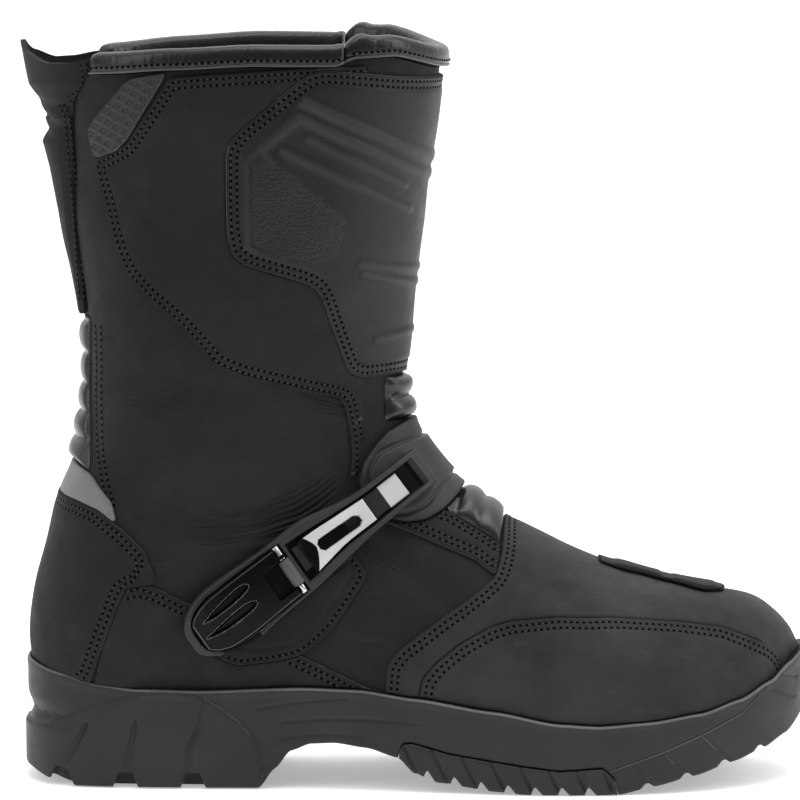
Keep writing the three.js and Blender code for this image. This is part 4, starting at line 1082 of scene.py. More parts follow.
# Painted highlight: a lighter colour on the sole's rounded rim stands in for the bright line along its top
# edge
rim_highlight_look = leather_look("sole_rim_highlight", (0.05, 0.05, 0.052), (0.09, 0.09, 0.092), (0.3, 0.42), grain=900,
                        grain_depth=0.00005, specular=0.45)
pad_look = leather_look("moulded_rubber", (0.021, 0.0213, 0.022), (0.029, 0.0294, 0.0305), (0.4, 0.5),
                        grain=2200, grain_depth=0.00005, grain_strength=0.35, specular=0.3)
hard_look = leather_look("hard_plastic", (0.0014, 0.0014, 0.0017), (0.0024, 0.0024, 0.0028), (0.2, 0.3),
                         grain=1800, grain_depth=0.00002, grain_strength=0.15, specular=0.12)
strap_look = leather_look("strap", (0.006, 0.006, 0.0065), (0.012, 0.012, 0.0125), (0.3, 0.42), grain=2200,
                          grain_depth=0.0002, specular=0.35)
lever_line_look = leather_look("lever_line", (0.03, 0.03, 0.031), (0.08, 0.08, 0.082), (0.2, 0.3),
                               specular=0.5)
roller_look = leather_look("roller", (0.06, 0.06, 0.061), (0.09, 0.09, 0.091), (0.4, 0.5), grain=2600,
                           grain_depth=0.0001, specular=0.35)
badge_look = leather_look("badge", (0.004, 0.004, 0.004), (0.006, 0.006, 0.006), (0.45, 0.55), grain=600,
                          grain_depth=0.00002, specular=0.08)
# Painted reflection: a light base colour stands in for the white light mirrored by the strap's plate and the
# latch's top
reflection_look = leather_look("painted_reflection_saddle", (0.5, 0.5, 0.495), (0.6, 0.6, 0.59), (0.12, 0.22), grain=200,
                           grain_depth=0.00001, grain_strength=0.1, coat=0.5, coat_rough=0.08,
                           specular=0.6)
steel_look = leather_look("bright_pin", (0.5, 0.5, 0.5), (0.6, 0.6, 0.6), (0.18, 0.28), grain_strength=0.1)
steel_look.node_tree.nodes["Principled BSDF"].inputs["Metallic"].default_value = 1.0
reflective_look = leather_look("reflective_cloth", (0.13, 0.13, 0.13), (0.17, 0.17, 0.17), (0.45, 0.6),
                               grain=2600, grain_depth=0.0001, specular=0.5)
lining_look = leather_look("lining_cloth", (0.008, 0.008, 0.0085), (0.012, 0.012, 0.0125), (0.85, 0.95),
                           pores=420, pore_depth=0.0005, specular=0.15)
thread_look = leather_look("thread", (0.02, 0.02, 0.0205), (0.034, 0.034, 0.0345), (0.4, 0.5), grain=3000,
                           specular=0.35)
# Painted shade: near-black discs stand in for the shade inside the needle holes
hole_shade_look = leather_look("needle_hole_shade", (0.001, 0.001, 0.001), (0.0015, 0.0015, 0.0015), (0.9, 1.0),
                         specular=0.05)


# The upper's sections: where the close rows over the ankle start and end, and from where the rows above are
# drawn towards the rim
ankle_from = 12
ankle_to = 19.5
drawn_from = 20


def upper_grid():
    """Places of the upper's outer face, closer together where it is folded."""
    lateral = np.linspace(0, math.pi, 190)
    medial = np.linspace(math.pi, 2 * math.pi, 110)[1:-1]
    a = np.concatenate([lateral, medial])
    top = level_of(a, lambda x: shaft_top(x) - gap)
    rows = np.concatenate([np.linspace(0.05, ankle_from, 60)[:-1],
                           np.linspace(ankle_from, ankle_to, 84)[:-1],
                           np.linspace(ankle_to, last_section, 46)])
    share = np.clip((rows - drawn_from) / (last_section - drawn_from), 0, 1)
    u = np.where(rows[:, None] < drawn_from, rows[:, None],
                 drawn_from + (top[None, :] - drawn_from) * share[:, None])
    return u, np.broadcast_to(a, u.shape)


def over_floor(points):
    """Which points lie above the sole's floor and its gap."""
    return points[..., 2] > floor_z(points[..., 0]) + gap


def lifted(points):
    """The same points, but none below the sole's floor and its gap."""
    points[..., 2] = np.maximum(points[..., 2], floor_z(points[..., 0]) + gap)
    return points


def upper_piece():
    """The upper: outer face, lining face and the edge between them."""
    u, a = upper_grid()
    base = surface(u, a)
    piece = Piece()
    outer = lifted(base + normal(u, a) * relief(base)[..., None])
    piece.grid(outer, around=True, flip=True, keep=over_floor(base))
    thin = np.unique(np.concatenate([np.arange(0, len(u) - 1, 4), [len(u) - 1]]))
    u, a, base = u[thin], a[thin], base[thin]
    inner = base + normal(u, a) * (relief(base) - wall)[..., None]
    above = over_floor(inner)
    piece.grid(lifted(inner), around=True, keep=above, material=1)
    piece.grid(np.stack([outer[-1], inner[-1]]), around=True, flip=True)
    return piece


upper = upper_piece()
# The seam at the rear of the ankle, in shares of the sole's length and the boot's height
seam_rows = [(0.0955, 0.62), (0.0965, 0.56), (0.0965, 0.5), (0.098, 0.46), (0.103, 0.425), (0.113, 0.385)]


def side_line(rows, side=-1, shift=0.0):
    """A line of position and normal on the upper, through shares of length and height in the side view."""
    points = np.array(rows) * (sole_length, boot_height) + (shift, 0)
    t = np.linspace(0, 1, 12)[:, None]
    path = [catmull(points[max(i - 1, 0)], points[i], points[i + 1], points[min(i + 2, len(points) - 1)], t)
            for i in range(len(points) - 1)]
    x, z = np.vstack(path).T
    u, a = side_spot(x, z)
    a = on_side(a, side)
    base, out = surface(u, a), normal(u, a)
    return np.concatenate([base + out * relief(base)[:, None], out], axis=1)


for side in (-1, 1):
    sew(upper, [side_line(seam_rows, side, s) for s in (1.6, 3.9)], 2, 3)
upper.finish("upper.skin", ("upper",), "nubuck", (upper_look, lining_look, thread_look, hole_shade_look))


# Shapes of the panels' side views, in shares of the sole's length and the boot's height
shin_rows = [
    (0.6, 0.95), (0.482, 0.96), (0.421, 0.968), (0.39, 0.971), (0.371, 0.967), (0.359, 0.958),
    (0.322, 0.926), (0.285, 0.892), (0.273, 0.879), (0.268, 0.859), (0.268, 0.799), (0.269, 0.745),
    (0.275, 0.725), (0.291, 0.712), (0.358, 0.689), (0.377, 0.679), (0.385, 0.662), (0.395, 0.627),
    (0.413, 0.57), (0.42, 0.559), (0.432, 0.553), (0.47, 0.554), (0.6, 0.557),
]
grip_rows = [
    (0.152, 0.958), (0.194, 0.967), (0.19, 0.957), (0.157, 0.897), (0.146, 0.877), (0.132, 0.86),
    (0.105, 0.85), (0.097, 0.886), (0.105, 0.902), (0.142, 0.95),
]
pad_rows = [
    (0.51, 0.495), (0.54, 0.49), (0.6, 0.42), (0.562, 0.395), (0.548, 0.38), (0.532, 0.366), (0.513, 0.356),
    (0.488, 0.354), (0.47, 0.36), (0.457, 0.369), (0.432, 0.399), (0.429, 0.412), (0.434, 0.434),
    (0.447, 0.455), (0.463, 0.474), (0.482, 0.485),
]
pad_raised = [
    (0.453, 0.445), (0.482, 0.456), (0.514, 0.458), (0.53, 0.462), (0.57, 0.42), (0.533, 0.403),
    (0.52, 0.386), (0.51, 0.374), (0.488, 0.366), (0.47, 0.368), (0.442, 0.414), (0.444, 0.431),
]
base_rows = [
    (0.426, 0.313), (0.439, 0.291), (0.438, 0.281), (0.401, 0.221), (0.376, 0.194), (0.357, 0.18),
    (0.332, 0.173), (0.281, 0.166), (0.262, 0.172), (0.24, 0.19), (0.222, 0.215), (0.225, 0.25),
    (0.26, 0.285), (0.33, 0.33),
]
counter_rows = [
    (-0.05, 0.392), (0.053, 0.39), (0.081, 0.386), (0.107, 0.377), (0.139, 0.351), (0.164, 0.324),
    (0.176, 0.289), (0.172, 0.279), (0.141, 0.275), (0.132, 0.255), (0.113, 0.2), (0.09, 0.13),
    (0.085, 0.05), (-0.05, 0.05),
]
reflector_rows = [
    (-0.05, 0.436), (0.069, 0.436), (0.097, 0.423), (0.107, 0.408), (0.123, 0.389), (0.129, 0.362),
    (0.107, 0.373), (0.085, 0.385), (-0.05, 0.388),
]
rear_bellows_rows = [(-0.05, 0.438), (0.069, 0.438), (0.094, 0.426), (0.094, 0.632), (-0.05, 0.632)]
shin_bellows_rows = [(0.462, 0.488), (0.462, 0.55), (0.6, 0.554), (0.6, 0.488)]
instep_bellows_rows = [
    (0.539, 0.368), (0.608, 0.322), (0.611, 0.338), (0.6135, 0.352), (0.617, 0.375), (0.6, 0.45),
    (0.55, 0.45),
]
guard_rows = [
    (0.507, 0.05), (0.507, 0.125), (0.51, 0.149), (0.526, 0.17), (0.557, 0.197), (0.595, 0.219),
    (0.62, 0.227), (0.682, 0.231), (0.757, 0.227), (0.833, 0.219), (0.884, 0.211), (0.916, 0.198),
    (0.943, 0.184), (0.956, 0.169), (0.963, 0.15), (0.97, 0.05),
]
vamp_rows = [
    (0.62, 0.45), (0.615, 0.357), (0.612, 0.344), (0.611, 0.322), (0.608, 0.304), (0.601, 0.282),
    (0.582, 0.265), (0.532, 0.229), (0.482, 0.189), (0.467, 0.169), (0.464, 0.128), (0.464, 0.05),
    (1.1, 0.05), (1.1, 0.45),
]
strip_rows = [
    (0.457, 0.359), (0.532, 0.325), (0.576, 0.305), (0.602, 0.284), (0.608, 0.322), (0.539, 0.368),
    (0.5, 0.36),
]
quarter_rows = [
    (0.141, 0.274), (0.151, 0.283), (0.182, 0.272), (0.213, 0.254), (0.26, 0.235), (0.357, 0.18),
    (0.42, 0.148), (0.463, 0.128), (0.463, 0.05), (0.08, 0.05), (0.113, 0.2), (0.132, 0.255),
]
side_rows = [
    (0.44, 0.976), (0.414, 0.975), (0.359, 0.974), (0.286, 0.968), (0.236, 0.964), (0.199, 0.96),
    (0.146, 0.87), (0.105, 0.846), (0.111, 0.82), (0.119, 0.787), (0.128, 0.747), (0.137, 0.717),
    (0.147, 0.694), (0.172, 0.665), (0.21, 0.63), (0.234, 0.601), (0.253, 0.577), (0.284, 0.563),
    (0.357, 0.541), (0.407, 0.526), (0.413, 0.514), (0.419, 0.479), (0.422, 0.446), (0.42, 0.416),
    (0.426, 0.42), (0.432, 0.465), (0.434, 0.553), (0.45, 0.7),
]
badge_rows = [
    (0.73, 0.287), (0.765, 0.273), (0.81, 0.26), (0.864, 0.2465), (0.897, 0.243), (0.9, 0.27), (0.82, 0.31),
    (0.735, 0.33),
]

# Ridges pressed into the shin plate: start x, z, end x, z, width, height in millimetres
shin_bands = [
    (111.5, 270.5, 166.0, 243.5, 2.2, 0.75), (111.5, 263.5, 166.0, 236.0, 1.9, 0.75),
    (115.0, 255.5, 150.5, 236.0, 1.5, 0.6), (105.0, 251.0, 152.0, 226.5, 1.5, 0.6),
    (134.0, 205.7, 162.0, 201.0, 1.5, 0.6), (135.0, 202.0, 162.0, 194.0, 1.4, 0.6),
    (140.0, 175.0, 162.0, 179.0, 1.4, 0.6), (97.0, 251.5, 112.0, 263.5, 1.8, 0.6),
    (97.0, 251.5, 101.5, 246.5, 1.5, 0.5), (92.0, 247.5, 110.0, 264.5, 1.2, 0.4),
    (91.5, 247.5, 91.5, 214.5, 1.1, 0.45), (91.5, 214.5, 101.0, 206.0, 1.1, 0.45),
]
net_patch = np.array([
    (93.5, 247.0), (106.0, 244.0), (129.0, 223.5), (125.0, 207.5), (106.0, 208.5), (93.5, 215.0),
])


def segment_distance(flat, x0, z0, x1, z1):
    """Distance of points from a straight line between two ends, and how far along it they lie."""
    a, b = np.array([x0, z0]), np.array([x1, z1])
    t = np.clip(((flat - a) @ (b - a)) / ((b - a) @ (b - a)), 0, 1)
    return np.linalg.norm(flat - (a + (b - a) * t[:, None]), axis=1), t


def line_distance(flat, line):
    """Distance of points from a line through several places."""
    stretches = zip(line[:-1], line[1:])
    return np.min([segment_distance(flat, *start, *end)[0] for start, end in stretches], axis=0)


def pressed(base, edge):
    """The shin plate's relief: slanted ridges on a middle that stands a little over its sewn border."""
    flat = base[:, [0, 2]]
    up = np.zeros(len(flat))
    for x0, z0, x1, z1, width, height in shin_bands:
        d, _ = segment_distance(flat, x0, z0, x1, z1)
        up = np.maximum(up, height * np.exp(-((d / width) ** 4)))
    return up * smoothstep(edge, 5.6, 6.4) + 0.25 * smoothstep(edge, 5.2, 5.9)


def netted(base):
    """Whether points lie in the shin plate's patch of small net marks."""
    return inside(base[:, [0, 2]], net_patch)


# The grip patch's squares: x and z of one in millimetres, their pitch, and the direction of their rows
check_spot = (38.8, 260.9)
check_pitch = 3.7
check_slant = (0.47, 0.88)


def checks(base, edge):
    """Small sunk squares in slanting rows, each with a low middle."""
    x, z = base[:, 0] - check_spot[0], base[:, 2] - check_spot[1]
    s = (x * check_slant[0] + z * check_slant[1]) / check_pitch
    t = (x * check_slant[1] - z * check_slant[0]) / check_pitch
    far = np.maximum(np.abs(s - np.round(s)), np.abs(t - np.round(t)))
    sunk = 0.65 * (1 - smoothstep(far, 0.27, 0.33)) - 0.3 * (1 - smoothstep(far, 0.13, 0.2))
    return -sunk * smoothstep(edge, 0.9, 1.3)


def pad_height(base, ua, edge):
    """A shell with a raised middle and an eased step round it."""
    line, _ = rounded(np.array(pad_raised) * (sole_length, boot_height), 2.5)
    line, _ = resampled(line, 0.5)
    flat = base[:, [0, 2]]
    d = distances(tree_of(flat_points(line)), flat_points(flat))
    d = np.where(inside(flat, line), d, -d)
    groove = 0.8 * np.exp(-(((d + 0.9) / 0.75) ** 2))
    return pad_thickness + pad_thickness * (pad_rise - 1) * smoothstep(d, -0.4, 0.5) - groove


# The badge's two plain bars, from and to x in millimetres, and the length over which its rear end runs down
badge_spans = [(234, 252), (257, 274)]
badge_taper = (229, 240)


def badge_bars(base, edge):
    """Two low bars along the badge, left plain."""
    x = base[:, 0]
    bars = sum(smoothstep(x, start, start + 2) * (1 - smoothstep(x, end, end + 2))
               for start, end in badge_spans)
    return 0.5 * bars * smoothstep(edge, 1.2, 2.0) - 0.7 * (1 - smoothstep(x, *badge_taper))


# Inner step of the buckle's base: x and z in millimetres
base_groove = np.array([
    (84.0, 55.5), (97.0, 55.0), (108.0, 56.5), (117.0, 62.0), (125.0, 73.5), (131.8, 83.5), (130.2, 88.3),
    (122.8, 83.8), (112.6, 75.7), (100.0, 65.0),
])


def base_step(base, edge):
    """A low groove a little inside the base's outline."""
    flat = base[:, [0, 2]]
    d = line_distance(flat, base_groove)
    return 0.35 * inside(flat, base_groove) * smoothstep(d, 0.2, 1.0) - 0.5 * np.exp(-((d / 0.7) ** 2))


# Ribs: the thickness between them, and the length over which one swells from its end
rib_bed = 0.6
rib_swell = 7.0


def ribs_over(centres, width, height, along, ends):
    """Rounded ribs that swell from the line of their ends: along gives each point's place across them."""
    def shape(base, ua, edge):
        place = along(base, ua)
        up = np.full(len(base), rib_bed)
        for centre, tall in zip(centres, height):
            s = np.clip((place - centre) / (width / 2), -1, 1)
            up = np.maximum(up, rib_bed + (tall - rib_bed) * np.sqrt(1 - s * s) ** 1.2)
        line = np.array(ends) * (sole_length, boot_height)
        far, _ = segment_distance(base[:, [0, 2]], *line[0], *line[1])
        swelling = np.sqrt(1 - (1 - np.clip(far / rib_swell, 0, 1)) ** 2)
        return rib_bed + (up - rib_bed) * smoothstep(edge, 0.0, 1.6) * swelling
    return shape


def height_of(base, ua):
    """The place across ribs that lie level."""
    return base[:, 2]


def section_of(base, ua):
    """The place across ribs that follow the sections."""
    return ua[:, 0]


def lay_bellows(name, rows, wraps, ribs):
    """A panel of soft leather in ribs."""
    lay_panel(name, rows, wraps=wraps, material=rib_look, slot="soft_leather", seams=(), spacing=0.9,
              height=ribs_over(*ribs))


lay_panel("shin_plate", shin_rows, wraps="front", thickness=plate_thickness, material=plate_look,
          slot="plate_leather", shape=pressed, spacing=0.9, seams=(1.8, 4.2), edge_cut=edge_look,
          marked=netted, marked_look=net_look)
lay_pair("grip_patch", grip_rows, thickness=plate_thickness, material=pad_look, slot="moulded_rubber",
         seams=(), shape=checks, spacing=0.42, edge_cut=pale_edge)
lay_panel("ankle_pad", pad_rows, wraps="front", material=pad_look, slot="moulded_rubber", seams=(),
          height=pad_height, spacing=0.6, round_edge=0.9)
lay_panel("buckle_base", base_rows, side="lateral", material=nubuck_look, seams=(1.9,), shape=base_step,
          spacing=1.0)
lay_panel("heel_counter", counter_rows, wraps="rear", thickness=plate_thickness, material=nubuck_look,
          plain=(11, 12, 13), seams=(2.0, 4.4))
lay_panel("reflector", reflector_rows, wraps="rear", material=reflective_look, slot="reflective", seams=())
# Ribs: their middles, width, heights, what they are counted along and the line of their ends
rear_ribs = (np.array([0.603, 0.56, 0.521, 0.483, 0.449]) * boot_height, 11.6, (4.2, 4.0, 4.3, 4.7, 4.4),
             height_of, [(0.094, 0.43), (0.094, 0.64)])
shin_ribs = (np.array([0.536, 0.504]) * boot_height, 9.6, (4.3, 4.3), height_of,
             [(0.462, 0.48), (0.462, 0.56)])
instep_places = side_spot(np.array([0.564, 0.592]) * sole_length, np.full(2, 0.34 * boot_height))[0]
instep_ribs = (instep_places, 0.7, (4.4, 4.3), section_of, [(0.539, 0.368), (0.608, 0.322)])
lay_bellows("rear_bellows", rear_bellows_rows, "rear", rear_ribs)
lay_bellows("shin_bellows", shin_bellows_rows, "front", shin_ribs)
lay_bellows("instep_bellows", instep_bellows_rows, "front", instep_ribs)
lay_pair("foot_guard", guard_rows, thickness=1.2 * plate_thickness, material=vamp_look, plain=(15,))
lay_panel("vamp", vamp_rows, wraps="front", material=vamp_look, plain=(10, 11, 12, 13))
lay_pair("instep_strip", strip_rows, material=nubuck_look, plain=(3, 5, 6), seams=(2.0, 4.3))
lay_pair("quarter", quarter_rows, material=nubuck_look, plain=(7, 8, 9, 10, 11))
lay_pair("side_panel", side_rows, material=nubuck_look, plain=(23, 24, 25, 26, 27), seams=(1.6, 4.1))
lay_panel("toe_badge", badge_rows, wraps="front", thickness=1.5, material=badge_look, slot="gloss_plastic",
          seams=(), spacing=0.8, under=panel_thickness + gap, shape=badge_bars, keeps_out=False)


# The outsole's steps round its outline, its columns on either side, and the rows of its underside and wall
outline_steps = 3000
lateral_columns = 540
medial_columns = 260
under_rows = 26
wall_rows = 62
# Ends of the underside's middle line, from the heel and from the toe, in millimetres
axis_ends = (34, 42)


def sole_columns():
    """The outsole's columns along its outline, closer on the lateral side, with outward directions."""
    fine, out = outline_loop(outline_steps)
    toe = int(fine[:, 0].argmax())
    index = np.concatenate([np.linspace(0, toe, lateral_columns)[:-1],
                            np.linspace(toe, outline_steps, medial_columns)[:-1]])
    k = index.astype(int)
    t = (index - k)[:, None]
    line, away = (v[k % outline_steps] * (1 - t) + v[(k + 1) % outline_steps] * t for v in (fine, out))
    return line, unit(away)


# Top line of the forefoot's tread insert: x and z in millimetres
insert_line = np.array([
    (149.4, -2.0), (149.8, 15.7), (151.6, 18.5), (155.1, 18.8), (169.7, 14.9), (197.2, 10.9), (212.5, 9.1),
    (229.3, 10.3), (234.0, 5.8), (235.6, -2.0),
])
# Notches between lugs: x, width, height and chamfer in millimetres
notches = [
    (17.8, 5.0, 5.8, 2.2), (42.9, 5.4, 5.8, 2.2), (69.4, 5.4, 5.8, 2.2), (246.6, 1.2, 1.7, 2.0),
    (262.0, 1.2, 1.8, 2.0), (277.0, 1.2, 1.8, 2.0), (291.5, 1.0, 1.6, 1.8),
]
# Lines and grooves in the wall: start x, z, end x, z, width at each end and depth
wall_marks = [
    (17.6, 7.0, 28.0, 25.0, 2.6, 0.5, 1.7), (43.2, 6.6, 47.0, 26.5, 2.6, 0.5, 1.7),
    (67.6, 7.0, 68.2, 16.5, 2.2, 1.2, 1.6), (68.2, 16.5, 71.4, 24.0, 1.2, 0.8, 1.5),
    (71.4, 24.0, 73.6, 35.0, 0.8, 0.4, 1.2), (93.9, 31.6, 108.7, 34.1, 0.5, 0.6, 0.4),
    (108.7, 34.1, 129.2, 36.2, 0.6, 0.4, 0.35), (104.2, 26.4, 119.0, 27.8, 0.6, 0.8, 0.5),
    (119.0, 27.8, 136.1, 28.1, 0.8, 0.8, 0.5), (136.1, 28.1, 157.7, 26.8, 0.8, 0.4, 0.4),
    (104.2, 20.1, 120.1, 21.8, 0.7, 0.7, 0.5), (120.1, 21.8, 136.1, 21.3, 0.7, 0.4, 0.4),
    (232.4, 9.8, 252.8, 16.7, 0.5, 0.5, 0.45), (252.8, 16.7, 268.8, 23.0, 0.5, 0.5, 0.45),
    (268.8, 23.0, 284.7, 30.2, 0.5, 0.5, 0.45), (284.7, 30.2, 292.7, 38.0, 0.5, 0.5, 0.4),
    (292.7, 38.0, 297.2, 46.0, 0.5, 0.5, 0.35), (242.0, 12.6, 247.0, 4.6, 0.5, 0.7, 0.6),
    (253.4, 16.2, 262.5, 7.4, 0.5, 0.7, 0.6), (268.2, 22.6, 279.0, 12.0, 0.5, 0.7, 0.6),
    (296.1, 37.9, 306.0, 32.6, 0.5, 0.6, 0.5), (298.4, 43.6, 307.0, 40.4, 0.5, 0.6, 0.5),
]
# Half width of the forefoot's middle, which the saw cuts leave whole
sole_core = 0.2 * ball_width
# Top line of the heel's raised block: x and z in millimetres
heel_block = np.array([
    (0, 22.5), (6, 23.0), (27.9, 30.0), (50.7, 38.0), (62, 38.6), (73.7, 35.6), (80.7, 31.7), (87.2, 26.5),
    (92.4, 20.7), (95.6, 13.5), (97.3, 3.2),
])
# Rise of the wall off its outline, over shares of its height
wall_profile = np.array([
    (0.0, -0.5), (0.12, -0.25), (0.45, -0.1), (0.75, 0.0), (0.9, 0.0), (0.965, 0.28), (1.0, 0.1),
])
# Radius of the rounded rim, and of the pale lines
rim_radius = 0.9
pale_radius = 0.22
# Pale raised lines on the wall: x and z in millimetres
pale_lines = [
    np.array([(73.7, 35.6), (80.7, 31.7), (87.2, 26.5), (92.4, 20.7), (95.6, 13.5), (97.2, 4.5)]),
    np.array([(232.4, 9.2), (252.8, 16.1), (268.8, 22.4), (284.7, 29.6), (292.7, 37.4)]),
    np.array([(253.4, 15.4), (257.4, 11.5)]), np.array([(268.2, 21.8), (274.4, 15.8)]),
]


def lowest(x, open_share=1.0):
    """Height of the outsole's lower edge over x, cut by its notches as far as they are open."""
    z = bottom_z(x)
    cut = np.zeros_like(z)
    for place, width, height, chamfer in notches:
        cut = np.maximum(cut, height * np.clip((width / 2 + chamfer - np.abs(x - place)) / chamfer, 0, 1))
    over_insert = np.interp(x, *insert_line.T, left=-9, right=-9) + gap
    return np.maximum(z + cut * open_share, over_insert)


def wall_out(x, z):
    """How far the sole's wall stands off its outline, in millimetres."""
    edge = edge_z(x)
    share = z / edge
    out = np.interp(share, *wall_profile.T)
    block_top = np.interp(x, *heel_block.T)
    block = smoothstep(block_top - z, 0.0, 0.6) * (x < 97.6)
    out = out + 1.15 * block
    fade = 1 - smoothstep(x, 10, 27)
    out = out - 1.9 * fade * np.exp(-(((share - 0.6) / 0.075) ** 2))
    out = out - 0.7 * fade * (share < 0.6) * (1 - block)
    flat = np.stack([x.ravel(), z.ravel()], axis=1)
    sunk = np.zeros(len(flat))
    for x0, z0, x1, z1, w0, w1, depth in wall_marks:
        near = np.nonzero((flat[:, 0] > min(x0, x1) - 6) & (flat[:, 0] < max(x0, x1) + 6))[0]
        d, t = segment_distance(flat[near], x0, z0, x1, z1)
        sunk[near] = np.maximum(sunk[near], depth * np.exp(-((d / (w0 + (w1 - w0) * t)) ** 2)))
    return out - sunk.reshape(out.shape)


def outsole_piece():
    """Outsole: wall, rim and underside in one skin."""
    line, away = sole_columns()
    x = line[:, 0]
    low, edge = lowest(x), edge_z(x)
    rows = []
    # underside, from its middle line out
    axis_x = np.clip(x, axis_ends[0], sole_length - axis_ends[1])
    axis_y = (np.interp(axis_x, *half_width(-1)) + np.interp(axis_x, *half_width(1))) / 2
    axis = np.stack([axis_x, axis_y], axis=1)
    foot = line - away * 1.1
    for t in np.linspace(1, 0, under_rows):
        flat = foot * (1 - t) + axis * t
        rows.append(np.column_stack([flat, lowest(flat[:, 0], 1 - smoothstep(t, 0.13, 0.19))]))
    # wall, from a first row at its foot up
    upward = [(share, 0.8, 0.0) for share in np.linspace(0, 1, wall_rows)]
    for share, rise, back in [(0.0, 0.3, 0.45), *upward]:
        z = low + (edge - rim_radius - low - 0.8) * share + rise
        rows.append(np.column_stack([line + away * (wall_out(x, z) - back)[:, None], z]))
    # rounded rim, then in to the foot and down beside it
    rim_start = len(rows)
    for turn in np.linspace(0.35, math.pi / 2, 4):
        flat = line + away * (0.1 - rim_radius * (1 - math.cos(turn)))
        rows.append(np.column_stack([flat, edge - rim_radius + rim_radius * math.sin(turn)]))
    ring = foot_ring()
    tree = tree_of(flat_points(ring))
    partner = np.array([ring[tree.find((p[0], p[1], 0))[1]] for p in line.tolist()])
    for flat, drop in ((partner + unit(line - partner) * 0.4, 0), (partner, 0.4), (partner, 3.0)):
        rows.append(np.column_stack([flat, edge_z(partner[:, 0]) - drop]))
    rows = np.array(rows)
    piece = Piece()
    piece.grid(rows[:rim_start], around=True, flip=True)
    # the rim's rows take the lighter colour of the painted highlight
    piece.grid(rows[rim_start - 1:rim_start + 4], around=True, flip=True, material=1)
    piece.grid(rows[rim_start + 3:], around=True, flip=True)
    # pale raised lines on the wall
    for path in pale_lines:
        there, _ = resampled(np.vstack([path, path[-2:0:-1]]), 0.8)
        x, z = there[:len(there) // 2 + 1].T
        for side in (-1, 1):
            edge_x, edge_y = half_width(side)
            slope = np.gradient(np.interp(x, edge_x, edge_y), x)
            away = unit(np.stack([-slope * side, np.full(len(x), float(side)), 0 * x], axis=1))
            centre = np.stack([x, np.interp(x, edge_x, edge_y), z], axis=1) + away * wall_out(x, z)[:, None]
            piece.grid(circles(centre, away, straight_up(away), pale_radius, 6), around=True, material=1)
    return piece


def half_width(side):
    """The outline's y over x on one side, for reading between."""
    fine, _ = outline_loop(1200)
    toe, heel = fine[:, 0].argmax(), fine[:, 0].argmin()
    one = fine[heel:toe] if side < 0 else np.vstack([fine[toe:], fine[:heel]])
    one = one[one[:, 0].argsort()]
    return one[:, 0], one[:, 1]


# Middle and half length of the line round the foot at the sole's edge, in millimetres
ring_middle = 150
ring_half = 146


def foot_ring():
    """The line where the foot meets the height of the sole's edge, seen from above, with its small gap."""
    sides = []
    for side in (-1, 1):
        x = ring_middle - ring_half * np.cos(np.linspace(0, math.pi, 500))
        u, a = side_spot(x, edge_z(x))
        within = (a > 0.02) & (a < math.pi - 0.02)
        p = offset(u[within], on_side(a[within], side), np.full(within.sum(), gap))
        sides.append(p[:, :2])
    loop = np.vstack([sides[0], sides[1][::-1]])
    return resampled(loop, 0.3)[0]


outsole_piece().finish("outsole.skin", ("outsole",), "sole_rubber", (rubber_look, rim_highlight_look))


# The insert's ends, its first tooth's x, its teeth's pitch, and the x where teeth set in and die out
insert_ends = (150.0, 235.0)
tooth_start = 159.7
tooth_pitch = 10.45
teeth_in = (157, 161)
teeth_out = (231, 234)


def tread_piece():
    """The saw-edged insert under the forefoot."""
    x = np.linspace(*insert_ends, 240)
    top = np.interp(x, *insert_line.T) - 0.05
    phase = ((x - tooth_start) / tooth_pitch) % 1.0
    tooth = np.interp(phase, [0.0, 0.1, 0.16, 0.42, 1.0], [0.4, 3.0, 3.0, 0.0, 0.0])
    tooth = tooth * smoothstep(x, *teeth_in) * (1 - smoothstep(x, *teeth_out))
    low = np.minimum(bottom_z(x) + tooth, top - 0.6)
    low = np.maximum(low, 0.0)
    tooth_drop = low - np.maximum(np.minimum(bottom_z(x), top - 0.6), 0.0)
    step = 0.55 * (1 - phase) * smoothstep(x, *teeth_in)
    rows = []
    for side in (-1, 1):
        edge = np.interp(x, *half_width(side))
        wall_rows = []
        for share in np.linspace(0, 1, 14):
            z = low + (top - low) * share
            # lug lines lean towards the toe on their way down
            lean = ((x - tooth_start + (z - 2.0) * 0.5) / tooth_pitch) % 1.0
            line = np.minimum(lean, 1 - lean) * tooth_pitch
            inset = 0.9 * np.exp(-((line / 0.55) ** 2)) + 0.5 * (share < 0.05) + 0.35 * (share > 0.97)
            out = wall_out(x, z) + 0.35 + step - inset
            wall_rows.append(np.column_stack([x, edge + side * out, z]))
        rows.append(wall_rows)
    under = []
    a, b = rows[0][0], rows[1][0]
    for t in np.linspace(0, 1, 24)[1:-1]:
        flat = b * (1 - t) + a * t
        flat[:, 2] -= tooth_drop * (1 - smoothstep(np.abs(flat[:, 1]), sole_core, sole_core + 3.0))
        under.append(flat)
    ring = rows[0] + rows[1][::-1] + under
    grid = np.array(ring).transpose(1, 0, 2)
    piece = Piece()
    piece.grid(grid, around=True, flip=True)
    piece.fan(grid[0])
    piece.fan(grid[-1], flip=True)
    return piece


tread_piece().finish("forefoot_tread.skin", ("forefoot_tread",), "sole_rubber", (rubber_look,))


# The insole's ends at most, its thickness and its middle's dish, in millimetres
insole_ends = (6, 302)
insole_thickness = 3.5
insole_dish = 0.8


